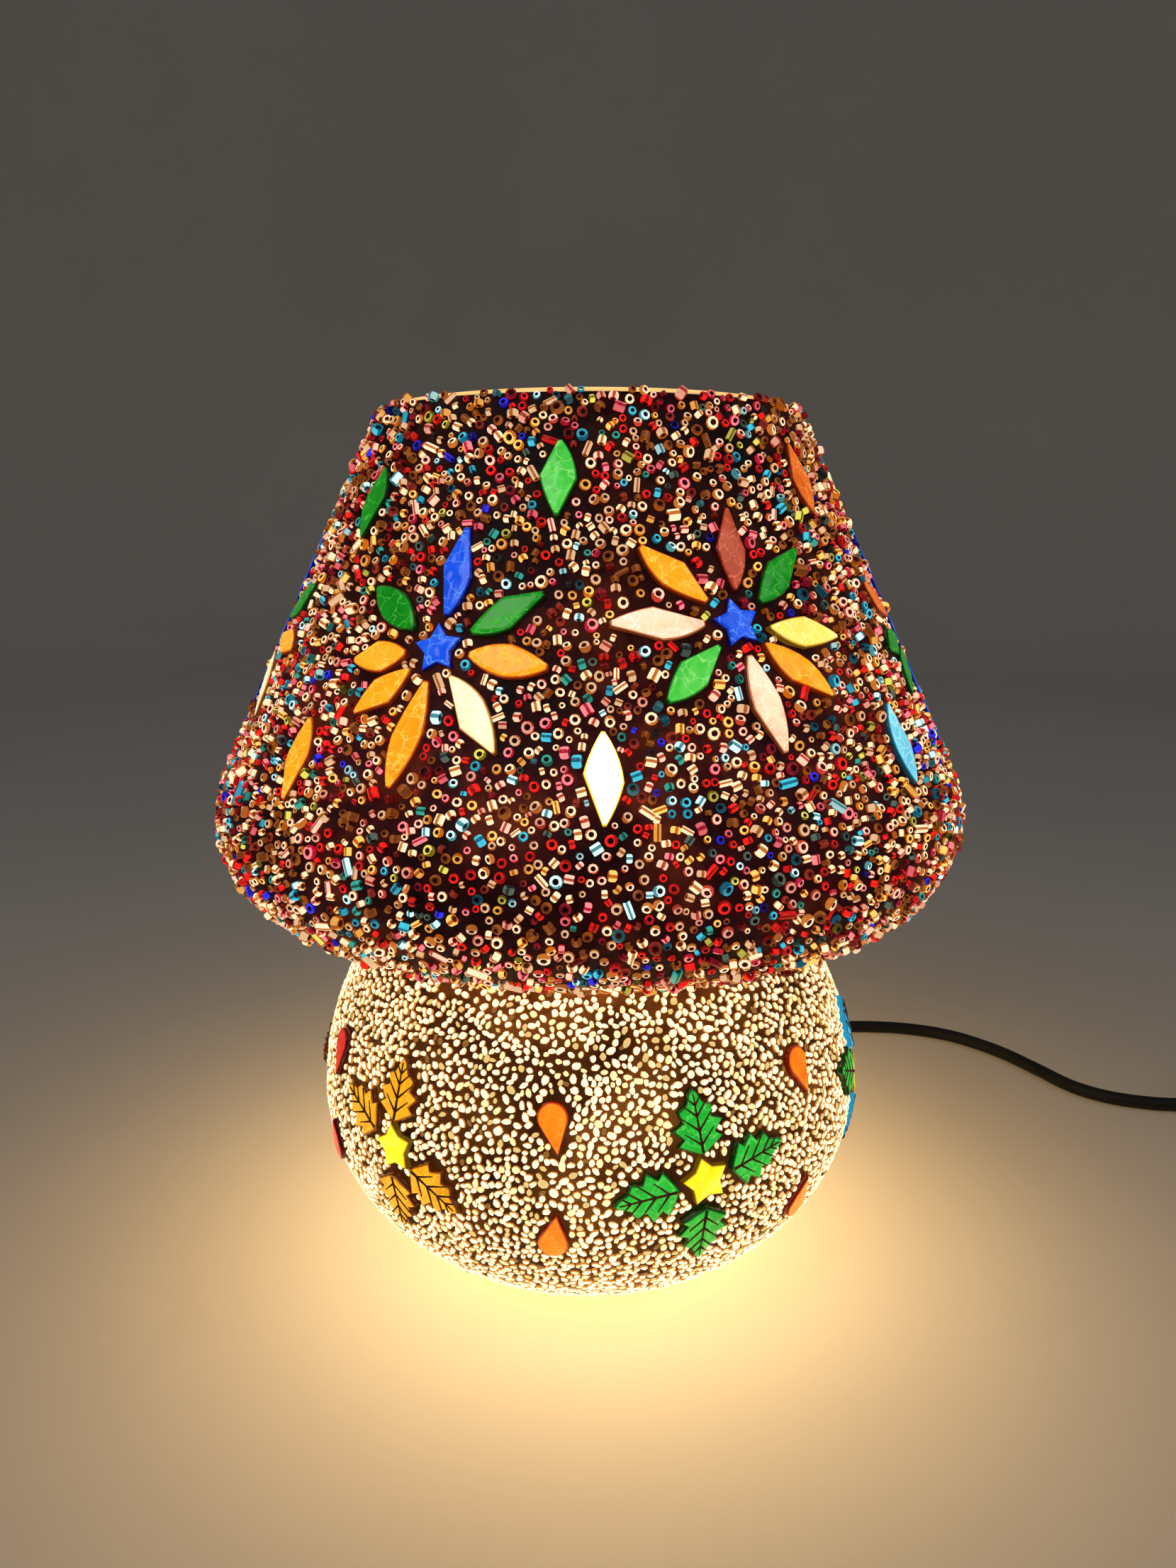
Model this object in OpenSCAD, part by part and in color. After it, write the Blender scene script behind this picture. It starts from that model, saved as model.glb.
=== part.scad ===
// Mushroom-shaped glass table lamp with a bead and chip mosaic, a screw-in bulb, a flex, an inline
// rocker switch and a two-pin plug. Millimetres, +Z up, origin at the centre of the foot's underside.
// The flex leaves the back of the base, to the right of +Y.

/* [Glass] */
// Height of the lamp
lamp_h = 250; // [244:1:256]
// Widest outside radius of the shade's glass
shade_r = 105; // [103:1:107]
// Angle of the shade's straight side from upright
shade_slope = 25; // [24:0.5:26]
// Radius of the shade's round shoulder
shoulder_r = 26.5; // [25:0.5:28]
// Height of the shade's flat underside
under_z = 112.5; // [111:0.5:114]
// Widest outside radius of the base's glass
base_r = 79.5; // [78:0.5:81]
// Height of the base's widest place
base_z = 53; // [52:0.5:54]
// Wall thickness of the glass
wall = 3; // [2.5:0.5:3.5]

/* [Mosaic] */
// Thickness of the bead layer on the shade
bead_t = 2; // [1.8:0.1:2.2]
// Thickness of the chip layer on the base
chip_t = 1.5; // [1.3:0.1:1.7]
// Thickness of the coloured glass tiles
tile_t = 2.5; // [2.2:0.1:2.8]
// Width of a shade petal
petal_w = 8.2; // [6.5:0.1:9]

/* [Electrical] */
// Height of the lamp holder's underside
holder_z = 44; // [43:0.5:45]
// Overall length of the bulb
bulb_len = 105; // [103:1:108]
// Largest radius of the bulb
bulb_r = 30; // [28:0.5:31]
// Diameter of the flex
cord_d = 5; // [4.8:0.1:5.2]
// Angle of the switch's rocker from level
rocker_tilt = 10; // [8:1:12]

/* [Hidden] */
$fn = 64;
round_fn = 128;

// ---- glass profile ----
foot_z = 2;
rim_lip = wall / 2;
shoulder_c = [shade_r - shoulder_r, under_z + shoulder_r];
dome_up = 77;
dome_down = 59;
neck_fillet = 4;
kick_r = 22;
kick_z = 11;
kick_foot_r = 30;
stem_r = 5;
stem_hole_r = 5.3;
// Sine and centre of the neck's hollow, which touches the shade's underside and the base's dome
neck_c_z = under_z - neck_fillet;
neck_sin = (neck_c_z - base_z) / (dome_up + neck_fillet);
neck_c = [(base_r + neck_fillet) * sqrt(1 - neck_sin * neck_sin), neck_c_z];
neck_lean = atan((neck_sin / (dome_up + neck_fillet)) / (cos(asin(neck_sin)) / (base_r + neck_fillet)));

function arc(c, r, from, to, n) = [for (i = [0:n]) let (a = from + (to - from) * i / n)
    [c[0] + r * cos(a), c[1] + r * sin(a)]];
// Radius of the shade's straight side at height z, d outside the glass
function side_r(z, d = 0) = shoulder_c[0] + ((shoulder_r + d)
    - (z - shoulder_c[1]) * sin(shade_slope)) / cos(shade_slope);
// Radius of the base at height z, d outside the glass
function dome_b(z, d) = (z > base_z ? dome_up : dome_down) + d;
function dome_r(z, d = 0) = (base_r + d) * sqrt(max(0, 1 - pow((z - base_z) / dome_b(z, d), 2)));
// Angle of the base's surface normal above level at height z
function dome_lean(z) = atan((z - base_z) / pow(dome_b(z, 0), 2) * pow(base_r, 2) / dome_r(z));
// The base's curve, d outside the glass, from height z0 to z1
function dome_curve(z0, z1, d, n) = [for (i = [0:n])
    let (a0 = asin((z0 - base_z) / dome_b(z0, d)), a1 = asin((z1 - base_z) / dome_b(z1, d)),
        a = a0 + (a1 - a0) * i / n)
    [(base_r + d) * cos(a), base_z + dome_b(base_z + sin(a), d) * sin(a)]];
neck_low_z = neck_c[1] - neck_fillet * sin(neck_lean);

// ---- mosaic layout ----
// Eight petals to a flower: angle from level, and how far out the tip is
PETALS_A = [[87, 29.7], [31, 26.7], [-8, 26.7], [-53, 29.7],
    [-99, 33.7], [-139, 25.7], [-170, 23.7], [146, 25.7]];
PETALS_B = [[83, 28.7], [39, 28.7], [-9, 29.7], [-40, 29.7],
    [-80, 31.7], [-138, 26.7], [179, 29.7], [137, 27.7]];
// The shade's flowers: angle round the lamp from the front, and height of the star
SHADE_FLOWERS = [[-23.5, 190], [23.8, 195.5], [77, 190], [128, 193], [180, 191], [231, 195], [283, 190]];
UPPER_DIAMONDS = [[-49, 223], [-6, 228], [51, 229], [103, 226], [154, 228], [206, 225], [257, 227]];
LOWER_DIAMONDS = [[-45, 163], [1.8, 164], [52, 165], [102, 163], [154, 164], [205, 163], [257, 164]];
BASE_FLOWERS = [[-39, 58.5], [21.2, 56.5], [78, 58], [140, 57], [200, 58], [262, 57]];
// Four leaves to a flower, at these angles from level
LEAF_TURNS = [[90, 156, -30, -90], [96, -171, 12, -90]];
BASE_DROPS = [[-6.3, 71.8, 44.2], [46.3, 75.5, 40], [109, 73, 42], [170, 74, 43], [231, 73, 42],
    [297, 72.5, 47]];
petal_in = 7.8;
star_r = 6;
upper_diamond_l = 19;
lower_diamond_l = 21;
diamond_w = 9;
leaf_l = 16;
leaf_w = 12;
leaf_out = 15;
drop_l = 13.4;
drop_w = 8;
tile_gap = 0.05;

// ---- stem and holder ----
stem_z = 3;
nut_af = 14;
nut_h = 4;
washer_t = 1.5;
washer_r = 11;
rubber_r = 12;
run_gap = 0.06;
cap_r = 20;
cap_wall = 2;
cap_top = holder_z + 24;
core_z = cap_top - 4;
core_top = core_z + 10;
thread_r = 12.68;
thread_wall = 0.6;
thread_top = core_top + 24;
sleeve_top = thread_top + 2;
contact_top = core_top + 2.7;
entry_z = holder_z + 17;
screw_x = 9;

// ---- bulb ----
tip_z = contact_top + 0.3;
bulb_cap_r = 12.6;
bulb_cap_z = tip_z + 4;
bulb_cap_top = bulb_cap_z + 24;
bulb_c_z = tip_z + bulb_len - bulb_r;
bulb_wall = 0.8;
bulb_neck_r = 12.4;
filament_z = bulb_c_z - 10;
filament_l = 28;
filament_n = 4;

// ---- flex ----
exit_turn = 152;
exit_z = 30;
exit_lean = dome_lean(exit_z);
exit_r = dome_r(exit_z);
grommet_l = 26;
grommet_end_r = 3.1;
cord_lie = cord_d / 2;
// Direction in which the flex leaves the base's wall, and where
out_dir = [sin(exit_turn) * cos(exit_lean), -cos(exit_turn) * cos(exit_lean), sin(exit_lean)];
exit_at = [sin(exit_turn) * exit_r, -cos(exit_turn) * exit_r, exit_z];
relief_end = exit_at + out_dir * grommet_l;
// Centreline of the flex from the strain relief to the switch, on the table from its fourth point
RUN = [relief_end, relief_end + out_dir * 9, [59, 107, 5], [67, 119, 2.7], [79, 131, 2.5],
    [96, 139, 2.5], [117, 141, 2.5], [139, 139, 2.5], [158, 131, 2.5], [173, 116, 2.5],
    [183, 99, 2.5], [191, 84, 2.5], [201, 75, 2.5], [214, 70, 2.5], [226, 68, 2.7],
    [236, 67, 4.2], [245, 67, 5], [250, 67, 5]];
// From the switch to the coil
LINK = [[300, 67, 5], [305, 67, 5], [317, 67, 4.2], [329, 66, 3], [341, 61.5, 2.5], [350.5, 53, 2.5],
    [356.5, 42, 2.5], [358.8, 29, 2.5], [358.4, 17, 2.5], [357, 8, 2.5]];
// The plug's rear end, and its turn from -X, which keeps its pins clear of the lamp's foot
plug_at = [262.9, -33.6, 7];
plug_turn = 15;
// From the top of the coil to the plug
TAIL = [[322, -24.5, 11.8], [311, -25, 12.3], [300, -26, 12.3], [289.2, -27.5, 10.8], [278.4, -29.6, 8.6],
    [269.7, -31.8, 7.2], plug_at];
// From the base's wall to the lamp holder: distance from the middle, and height
INSIDE = [[exit_r - 5.5 * cos(exit_lean), exit_z - 5.5 * sin(exit_lean)], [60, 38], [50, 43.8], [40, 50],
    [31, 56], [23, 60.2], [14, entry_z]];
switch_at = [275, 67, 0];
coil_at = [322, 8, 0];
coil_mid_r = 30;
coil_pitch = cord_d;
coil_top_r = coil_mid_r + coil_pitch / 2;
coil_low_h = 2 * cord_d;
coil_h = coil_low_h + 0.86 * cord_d;
tie_t = 0.6;
tie_w = 8;
tie_turn = 150;

// ---- switch ----
sw_l = 60;
sw_w = 26;
sw_h = 18;
sw_split = 9;
sw_wall = 1.8;
sw_corner = 6;
sw_cord_z = 5;
rocker_w = 11;
rocker_r = 8;
pivot_z = 13.5;
axle_r = 1;
sw_screw = [22, 8];

// ---- plug ----
relief_l = 12;
plug_l = 36;
plug_w = 35;
plug_rear_w = 18;
plug_h = 13.7;
pin_r = 2;
pin_core_r = 1.5;
sleeve_r = 1.8;
pin_gap = 19;
pin_l = 19;
sleeve_l = 10;
pin_round = 1;

// ---- helpers ----
// Local frame on a surface of revolution: X to the right, Y up the slope, Z outwards
module on_wall(turn, r, z, lean) {
    rotate([0, 0, turn]) translate([0, -r, z]) rotate([90 - lean, 0, 0]) children();
}
module on_shade(turn, z) {
    on_wall(turn, side_r(z, tile_gap), z, shade_slope) children();
}
module on_base(turn, z) {
    on_wall(turn, dome_r(z, tile_gap), z, dome_lean(z)) children();
}
module tube(r_out, r_in, h) {
    difference() {
        cylinder(r = r_out, h = h);
        translate([0, 0, -1]) cylinder(r = r_in, h = h + 2);
    }
}
// A straight round rod from p to q
module rod(p, q, r) {
    d = q - p;
    translate(p) rotate([0, acos(d[2] / norm(d)), atan2(d[1], d[0])]) cylinder(r = r, h = norm(d));
}
// Flat outline with true round corners
module rounded(l, w, r) {
    square([l - 2 * r, w], center = true);
    square([l, w - 2 * r], center = true);
    for (sx = [-1, 1], sy = [-1, 1]) translate([sx * (l / 2 - r), sy * (w / 2 - r)]) circle(r);
}

// ---- swept flex ----
cord_sides = 10;
function unit(v) = v / norm(v);
// Point at t, from 0 to 1, between P[i] and P[i + 1] on a smooth curve through all of P
function spline(P, i, t) = let (n = len(P) - 1, a = P[max(i - 1, 0)], b = P[i], c = P[min(i + 1, n)],
        d = P[min(i + 2, n)])
    0.5 * ((2 * b) + (c - a) * t + (2 * a - 5 * b + 4 * c - d) * t * t
        + (3 * b - a - 3 * c + d) * t * t * t);
function sampled(P, k) = [for (i = [0:len(P) - 2]) for (j = [0:k - 1]) spline(P, i, j / k),
    P[len(P) - 1]];
function heading(C, i) = unit(C[min(i + 1, len(C) - 1)] - C[max(i - 1, 0)]);
function ring(C, i, r) = let (t = heading(C, i), s = unit(cross(t, [0, 0, 1])), u = cross(s, t))
    [for (j = [0:cord_sides - 1]) let (a = 360 * j / cord_sides)
        C[i] + r * (cos(a) * s + sin(a) * u)];
module flex(P, k = 2) {
    C = sampled(P, k);
    n = len(C);
    m = cord_sides;
    points = [for (i = [0:n - 1]) each ring(C, i, cord_d / 2)];
    sides = [for (i = [0:n - 2]) for (j = [0:m - 1])
        [i * m + j, i * m + (j + 1) % m, (i + 1) * m + (j + 1) % m, (i + 1) * m + j]];
    first = [for (j = [0:m - 1]) m - 1 - j];
    last = [for (j = [0:m - 1]) (n - 1) * m + j];
    color("#141210") polyhedron(points, concat(sides, [first, last]), convexity = 8);
}

// ---- glass ----
// The one blown body, in six parts that meet face to face
mid_shoulder = (shade_slope - 90) / 2;
module glass(outer, inner) {
    color("#c98a3c") rotate_extrude($fn = round_fn) polygon(concat(outer, inner));
}
module glass_shade_side() {
    rim_z = lamp_h - rim_lip;
    glass(arc([side_r(rim_z) - rim_lip, rim_z], rim_lip, 180, 0, 6),
        [for (r = [shoulder_r, shoulder_r - wall])
            shoulder_c + r * [cos(shade_slope), sin(shade_slope)]]);
}
module glass_shoulder_upper() {
    glass(arc(shoulder_c, shoulder_r, shade_slope, mid_shoulder, 10),
        arc(shoulder_c, shoulder_r - wall, mid_shoulder, shade_slope, 10));
}
module glass_shoulder_lower() {
    glass(arc(shoulder_c, shoulder_r, mid_shoulder, -90, 10),
        arc(shoulder_c, shoulder_r - wall, -90, mid_shoulder, 10));
}
module glass_shade_floor() {
    glass(concat([[shoulder_c[0], under_z]], arc(neck_c, neck_fillet, 90, 180, 6)),
        concat(arc(neck_c, neck_fillet + wall, 180, 90, 6), [[shoulder_c[0], under_z + wall]]));
}
module glass_base_upper() {
    glass(concat(arc(neck_c, neck_fillet, 180, 180 + neck_lean, 4), dome_curve(neck_low_z, base_z, 0, 8)),
        concat(dome_curve(base_z, neck_low_z, -wall, 8),
            arc(neck_c, neck_fillet + wall, 180 + neck_lean, 180, 4)));
}
module glass_base_lower() {
    difference() {
        glass(concat(dome_curve(base_z, foot_z, 0, 14), [[kick_foot_r, foot_z], [kick_r, kick_z],
            [stem_hole_r, kick_z]]),
            concat([[stem_hole_r, kick_z + wall], [kick_r + 1, kick_z + wall],
            [kick_foot_r + 1.5, foot_z + wall]], dome_curve(foot_z + wall, base_z, -wall, 12)));
        on_wall(exit_turn, exit_r, exit_z, exit_lean)
            translate([0, 0, -wall * 2]) cylinder(r = 4.6, h = wall * 4);
    }
}
bead_top_z = lamp_h - 2.4;
bead_in_r = 66;
module shade_bead_layer() {
    out = concat([[side_r(bead_top_z), bead_top_z], [side_r(bead_top_z, bead_t), bead_top_z]],
        arc(shoulder_c, shoulder_r + bead_t, shade_slope, -90, 20), [[bead_in_r, under_z - bead_t]]);
    back = concat([[bead_in_r, under_z]], arc(shoulder_c, shoulder_r, -90, shade_slope, 20));
    color("#7a2a20") rotate_extrude($fn = round_fn) polygon(concat(out, back));
}
chip_top_z = 101;
chip_low_z = 5;
skin_gap = 0.1;
module base_chip_layer() {
    out = concat(dome_curve(chip_top_z, base_z, chip_t, 10), dome_curve(base_z, chip_low_z, chip_t, 14));
    back = concat(dome_curve(chip_low_z, base_z, skin_gap, 14),
        dome_curve(base_z, chip_top_z, skin_gap, 10));
    color("#e8d49c") difference() {
        rotate_extrude($fn = round_fn) polygon(concat(out, back));
        on_wall(exit_turn, exit_r, exit_z, exit_lean)
            translate([0, 0, -wall]) cylinder(r = 8, h = wall * 3);
    }
}

// ---- tiles ----
module rhomb(l, w) {
    linear_extrude(tile_t) polygon([[-l / 2, 0], [0, -w / 2], [l / 2, 0], [0, w / 2]]);
}
module star(r) {
    linear_extrude(tile_t) polygon([for (i = [0:9]) let (a = 90 + i * 36, q = i % 2 == 0 ? r : r * 0.52)
        [q * cos(a), q * sin(a)]]);
}
module petal(flower, angle, tip) {
    out = (petal_in + tip) / 2;
    z = flower[1] + out * sin(angle) * cos(shade_slope);
    turn = flower[0] + out * cos(angle) / side_r(z) * 180 / PI;
    on_shade(turn, z) rotate([0, 0, angle]) rhomb(tip - petal_in, petal_w);
}
module shade_flower(i, tints) {
    petals = i % 2 == 0 ? PETALS_A : PETALS_B;
    for (k = [0:7]) color(tints[k]) petal(SHADE_FLOWERS[i], petals[k][0], petals[k][1]);
}
BLUE = "#1d55e8";
GREEN = "#1fae3a";
AMBER = "#f0a01c";
PALE = "#fff0b0";
ROSE = "#d8503c";
YELLOW = "#ffd84a";
ORANGE = "#ff8a14";
LEFT_TINTS = [BLUE, GREEN, AMBER, PALE, AMBER, AMBER, AMBER, GREEN];
RIGHT_TINTS = [ROSE, GREEN, YELLOW, AMBER, PALE, GREEN, PALE, AMBER];
SIDE_TINTS = [BLUE, GREEN, AMBER, PALE, BLUE, GREEN, GREEN, ORANGE];
module shade_flower_1() { shade_flower(0, LEFT_TINTS); }
module shade_flower_2() { shade_flower(1, RIGHT_TINTS); }
module shade_flower_3() { shade_flower(2, SIDE_TINTS); }
module shade_flower_4() { shade_flower(3, RIGHT_TINTS); }
module shade_flower_5() { shade_flower(4, LEFT_TINTS); }
module shade_flower_6() { shade_flower(5, RIGHT_TINTS); }
module shade_flower_7() { shade_flower(6, SIDE_TINTS); }
module shade_flower_stars() {
    color(BLUE) for (f = SHADE_FLOWERS) on_shade(f[0], f[1]) rotate([0, 0, 8]) star(star_r);
}
module shade_upper_diamonds() {
    color(GREEN) for (d = UPPER_DIAMONDS)
        on_shade(d[0], d[1]) rotate([0, 0, 90]) rhomb(upper_diamond_l, diamond_w);
}
module shade_lower_diamonds() {
    color(PALE) for (d = LOWER_DIAMONDS)
        on_shade(d[0], d[1]) rotate([0, 0, 90]) rhomb(lower_diamond_l, diamond_w);
}
// A serrated leaf along +X, from its stalk end at 0
leaf_teeth = 4;
function leaf_half(t) = leaf_w / 2 * pow(sin(180 * pow(t, 0.8)), 0.75);
function leaf_side(side) = [for (i = [0:leaf_teeth - 1]) each [
    let (t = (i + 0.12) / leaf_teeth) [t * leaf_l, side * leaf_half(t) * 0.72],
    let (t = (i + 0.8) / leaf_teeth) [t * leaf_l, side * leaf_half(t)]]];
module leaf() {
    right = leaf_side(-1);
    left = leaf_side(1);
    linear_extrude(tile_t) polygon(concat([[0, 0]], right, [[leaf_l, 0]],
        [for (i = [len(left) - 1:-1:0]) left[i]]));
}
module base_flower(i, tint) {
    turns = LEAF_TURNS[i % 2];
    f = BASE_FLOWERS[i];
    color(tint) for (a = turns) {
        z = f[1] + leaf_out * sin(a) * cos(dome_lean(f[1] + leaf_out * sin(a)));
        turn = f[0] + leaf_out * cos(a) / dome_r(z) * 180 / PI;
        on_base(turn, z) rotate([0, 0, a]) translate([-leaf_l / 2, 0, 0]) leaf();
    }
}
module base_flower_1() { base_flower(0, AMBER); }
module base_flower_2() { base_flower(1, GREEN); }
module base_flower_3() { base_flower(2, BLUE); }
module base_flower_4() { base_flower(3, AMBER); }
module base_flower_5() { base_flower(4, GREEN); }
module base_flower_6() { base_flower(5, AMBER); }
module base_flower_stars() {
    color(YELLOW) for (f = BASE_FLOWERS) on_base(f[0], f[1]) rotate([0, 0, 12]) star(star_r);
}
// A teardrop with its point towards +Y
module teardrop() {
    r = drop_w / 2;
    c = -drop_l / 2 + r;
    touch = asin(r / (drop_l - r));
    linear_extrude(tile_t) polygon(concat([[0, drop_l / 2]], arc([0, c], r, 180 - touch, 360 + touch, 24)));
}
module base_drops() {
    color(ORANGE) for (d = BASE_DROPS) {
        on_base(d[0], d[1]) rotate([0, 0, 180]) teardrop();
        on_base(d[0], d[2]) teardrop();
    }
}

// ---- foot, stem and holder ----
module foot_pad() {
    color("#26221f") tube(38, kick_foot_r + 1, foot_z);
}
module stem_pipe() {
    color("#b08d3c") translate([0, 0, stem_z]) tube(stem_r, 3.5, holder_z + 10 - stem_z);
}
module nut(z) {
    translate([0, 0, z]) difference() {
        cylinder(r = nut_af / 2 / cos(30), h = nut_h, $fn = 6);
        translate([0, 0, -1]) cylinder(r = stem_r + run_gap, h = nut_h + 2);
    }
}
low_nut_z = kick_z - 2 * washer_t - nut_h;
top_stack_z = kick_z + wall;
module stem_nuts() {
    color("#b9b4a6") {
        nut(low_nut_z);
        nut(top_stack_z + 2 * washer_t);
    }
}
module stem_steel_washers() {
    color("#a7a7a7") for (z = [kick_z - 2 * washer_t, top_stack_z + washer_t])
        translate([0, 0, z]) tube(washer_r, stem_r + run_gap, washer_t);
}
module stem_rubber_washers() {
    color("#222020") for (z = [kick_z - washer_t, top_stack_z])
        translate([0, 0, z]) tube(rubber_r, stem_r + run_gap, washer_t);
}
module holder_cap() {
    z = holder_z;
    outline = [[stem_r + run_gap, z], [8, z], [8, z + 4], [11, z + 6], [cap_r, z + 14], [cap_r, cap_top],
        [cap_r - cap_wall, cap_top], [cap_r - cap_wall, core_z], [16.5, core_z], [16.5, z + 14.5],
        [10, z + 10], [stem_r + run_gap, z + 10]];
    color("#1c1a19") difference() {
        rotate_extrude($fn = round_fn) polygon(outline);
        rotate([0, 0, exit_turn]) translate([0, -12, entry_z]) rotate([90, 0, 0]) cylinder(r = 3.1, h = 12);
    }
}
module holder_core() {
    color("#eee7da") translate([0, 0, core_z]) difference() {
        cylinder(r = cap_r - cap_wall - 0.1, h = core_top - core_z);
        for (s = [-1, 1]) translate([s * screw_x, 0, -1]) cylinder(r = 1.3, h = 12);
    }
}
module holder_sleeve() {
    in_r = cap_r - cap_wall;
    mouth_r = 14;
    lip_z = thread_top + 0.3;
    color("#1c1a19") rotate_extrude($fn = round_fn) polygon([[cap_r, cap_top], [cap_r, sleeve_top - 1],
        [cap_r - 1, sleeve_top], [mouth_r, sleeve_top], [mouth_r, lip_z], [in_r, lip_z], [in_r, cap_top]]);
}
module holder_thread_shell() {
    color("#c9a24b") translate([0, 0, core_top]) {
        tube(thread_r + thread_wall, thread_r, thread_top - core_top);
        difference() {
            tube(thread_r + thread_wall, 7.5, thread_wall);
            for (s = [-1, 1]) translate([s * screw_x, 0, -1]) cylinder(r = 1.3, h = 3);
        }
    }
}
module holder_centre_contact() {
    t = 0.5;
    rise = contact_top - core_top;
    color("#c9a24b") translate([0, 2.5, core_top]) rotate([90, 0, 0]) linear_extrude(5)
        polygon([[-6, 0], [-1, 0], [2, rise - t], [5, rise - t], [5, rise], [1.7, rise], [-1.3, t], [-6, t]]);
}
module holder_screws() {
    color("#c9a24b") for (s = [-1, 1]) translate([s * screw_x, 0, 0]) {
        translate([0, 0, core_z + 1]) cylinder(r = 1.2, h = core_top + thread_wall - core_z - 1);
        translate([0, 0, core_top + thread_wall]) difference() {
            cylinder(r = 2.2, h = 1.3);
            translate([-3, -0.3, 0.7]) cube([6, 0.6, 2]);
        }
    }
}
module holder_leads() {
    start = [sin(exit_turn) * 13.6, -cos(exit_turn) * 13.6, entry_z];
    side = [cos(exit_turn), sin(exit_turn), 0];
    for (s = [-1, 1]) color(s < 0 ? "#2f56b0" : "#6b3b22")
        rod(start + side * s * 1.2, [-s * 6.3, 2, core_z - 1.2], 0.9);
}

// ---- bulb ----
bend_r = 30;
bulb_throat_r = 13;
bend_c = [bulb_throat_r + bend_r, bulb_c_z - sqrt(pow(bulb_r + bend_r, 2) - pow(bulb_throat_r + bend_r, 2))];
bend_end = 180 - acos((bulb_throat_r + bend_r) / (bulb_r + bend_r));
module bulb_glass() {
    z = bulb_cap_top;
    outer = concat([[11.9, z - 7], [11.9, z - 4], [bulb_throat_r, z - 1]],
        arc(bend_c, bend_r, 180, bend_end, 8), arc([0, bulb_c_z], bulb_r, bend_end - 180, 90, 20));
    inner = concat(arc([0, bulb_c_z], bulb_r - bulb_wall, 90, bend_end - 180, 20),
        arc(bend_c, bend_r + bulb_wall, bend_end, 180, 8),
        [[bulb_throat_r - bulb_wall, z - 0.7], [11.1, z - 3.7], [11.1, z - 7]]);
    color("#fff3d6") rotate_extrude($fn = round_fn) polygon(concat(outer, inner));
}
module bulb_cap() {
    z = bulb_cap_z;
    t = bulb_cap_top;
    color("#c8c4ba") rotate_extrude($fn = round_fn) polygon([[bulb_cap_r, z], [bulb_cap_r, t - 3.8],
        [bulb_cap_r + 1.2, t - 1.8], [bulb_cap_r + 1.2, t + 1], [13.1, t + 1], [13.1, t - 1.5],
        [12.1, t - 3.5], [12.1, z]]);
}
module bulb_insulator() {
    color("#15181d") rotate_extrude($fn = round_fn) polygon([[0, tip_z + 1.2], [4.8, tip_z + 1.2],
        [12, bulb_cap_z - 0.4], [12, bulb_cap_z + 1.5], [0, bulb_cap_z + 1.5]]);
}
module bulb_tip() {
    color("#b9b9b4") translate([0, 0, tip_z]) cylinder(r = 4.6, h = 1.2);
}
module bulb_mount() {
    z = bulb_cap_top - 6;
    color("#f4efe2") rotate_extrude() polygon([[0, z], [10.9, z], [10.9, z + 1], [6, z + 6], [3.5, z + 14],
        [3, filament_z - 14], [1.4, filament_z - 10], [1.4, filament_z + 15], [0, filament_z + 15]]);
}
module bulb_filaments() {
    half = filament_l / 2;
    color("#ffc766") for (k = [0:filament_n - 1]) rotate([0, 0, 45 + 360 / filament_n * k]) {
        rod([8, 0, filament_z - half], [5, 0, filament_z + half], 1);
        rod([3, 0, filament_z - half - 2], [8, 0, filament_z - half], 0.3);
        rod([1.2, 0, filament_z + half + 0.5], [5, 0, filament_z + half], 0.3);
    }
}

// ---- flex and what is on it ----
function turned(p) = [sin(exit_turn) * p[0], -cos(exit_turn) * p[0], p[1]];
module cord_inside() { flex([for (p = INSIDE) turned(p)], 1); }
module cord_run() { flex(RUN); }
module cord_link() { flex(LINK); }
module cord_tail() { flex(TAIL); }
module cord_grommet() {
    in_z = -wall - 0.5;
    color("#141210") on_wall(exit_turn, exit_r, exit_z, exit_lean) rotate_extrude() polygon([
        [0, in_z - 1.7], [6.6, in_z - 1.7], [6.6, in_z], [4.5, in_z], [4.5, 0.1], [7, 0.1], [7, 1.6],
        [5.4, 2.4], [grommet_end_r, grommet_l], [0, grommet_l]]);
}
module cord_coil() {
    in_r = coil_mid_r - 1.5 * coil_pitch;
    out_r = coil_mid_r + 1.5 * coil_pitch;
    color("#141210") translate(coil_at) rotate_extrude($fn = round_fn) polygon([
        [in_r, 1], [in_r + 1, 0], [out_r - 1, 0], [out_r, 1], [out_r, coil_low_h - 1],
        [out_r - 1, coil_low_h], [coil_top_r + 2.5, coil_h - 1.5], [coil_top_r + 1.5, coil_h],
        [coil_top_r - 1.5, coil_h], [coil_top_r - 2.5, coil_h - 1.5], [in_r + 1, coil_low_h],
        [in_r, coil_low_h - 1]]);
}
module coil_tie() {
    in_r = coil_mid_r - 1.5 * coil_pitch;
    span = 3 * coil_pitch;
    color("#0e0e10") translate(coil_at) rotate([0, 0, tie_turn]) difference() {
        translate([in_r - tie_t, -tie_w / 2, 0]) cube([span + 2 * tie_t, tie_w, coil_h + tie_t]);
        translate([in_r, -tie_w, tie_t]) cube([span, 2 * tie_w, coil_h - tie_t]);
    }
}
module switch_lower() {
    color("#161413") translate(switch_at) difference() {
        linear_extrude(sw_split) rounded(sw_l, sw_w, sw_corner);
        difference() {
            translate([0, 0, sw_wall]) linear_extrude(sw_h)
                rounded(sw_l - 2 * sw_wall, sw_w - 2 * sw_wall, sw_corner - sw_wall);
            for (s = [-1, 1]) translate([s * sw_screw[0], s * sw_screw[1], 0]) cylinder(r = 2.8, h = sw_h);
        }
        for (s = [-1, 1]) translate([s * sw_screw[0], s * sw_screw[1], 3]) cylinder(r = 1.25, h = sw_h);
        translate([-sw_l, 0, sw_cord_z]) rotate([0, 90, 0]) cylinder(r = cord_d / 2 + 0.1, h = 2 * sw_l);
    }
}
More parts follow.
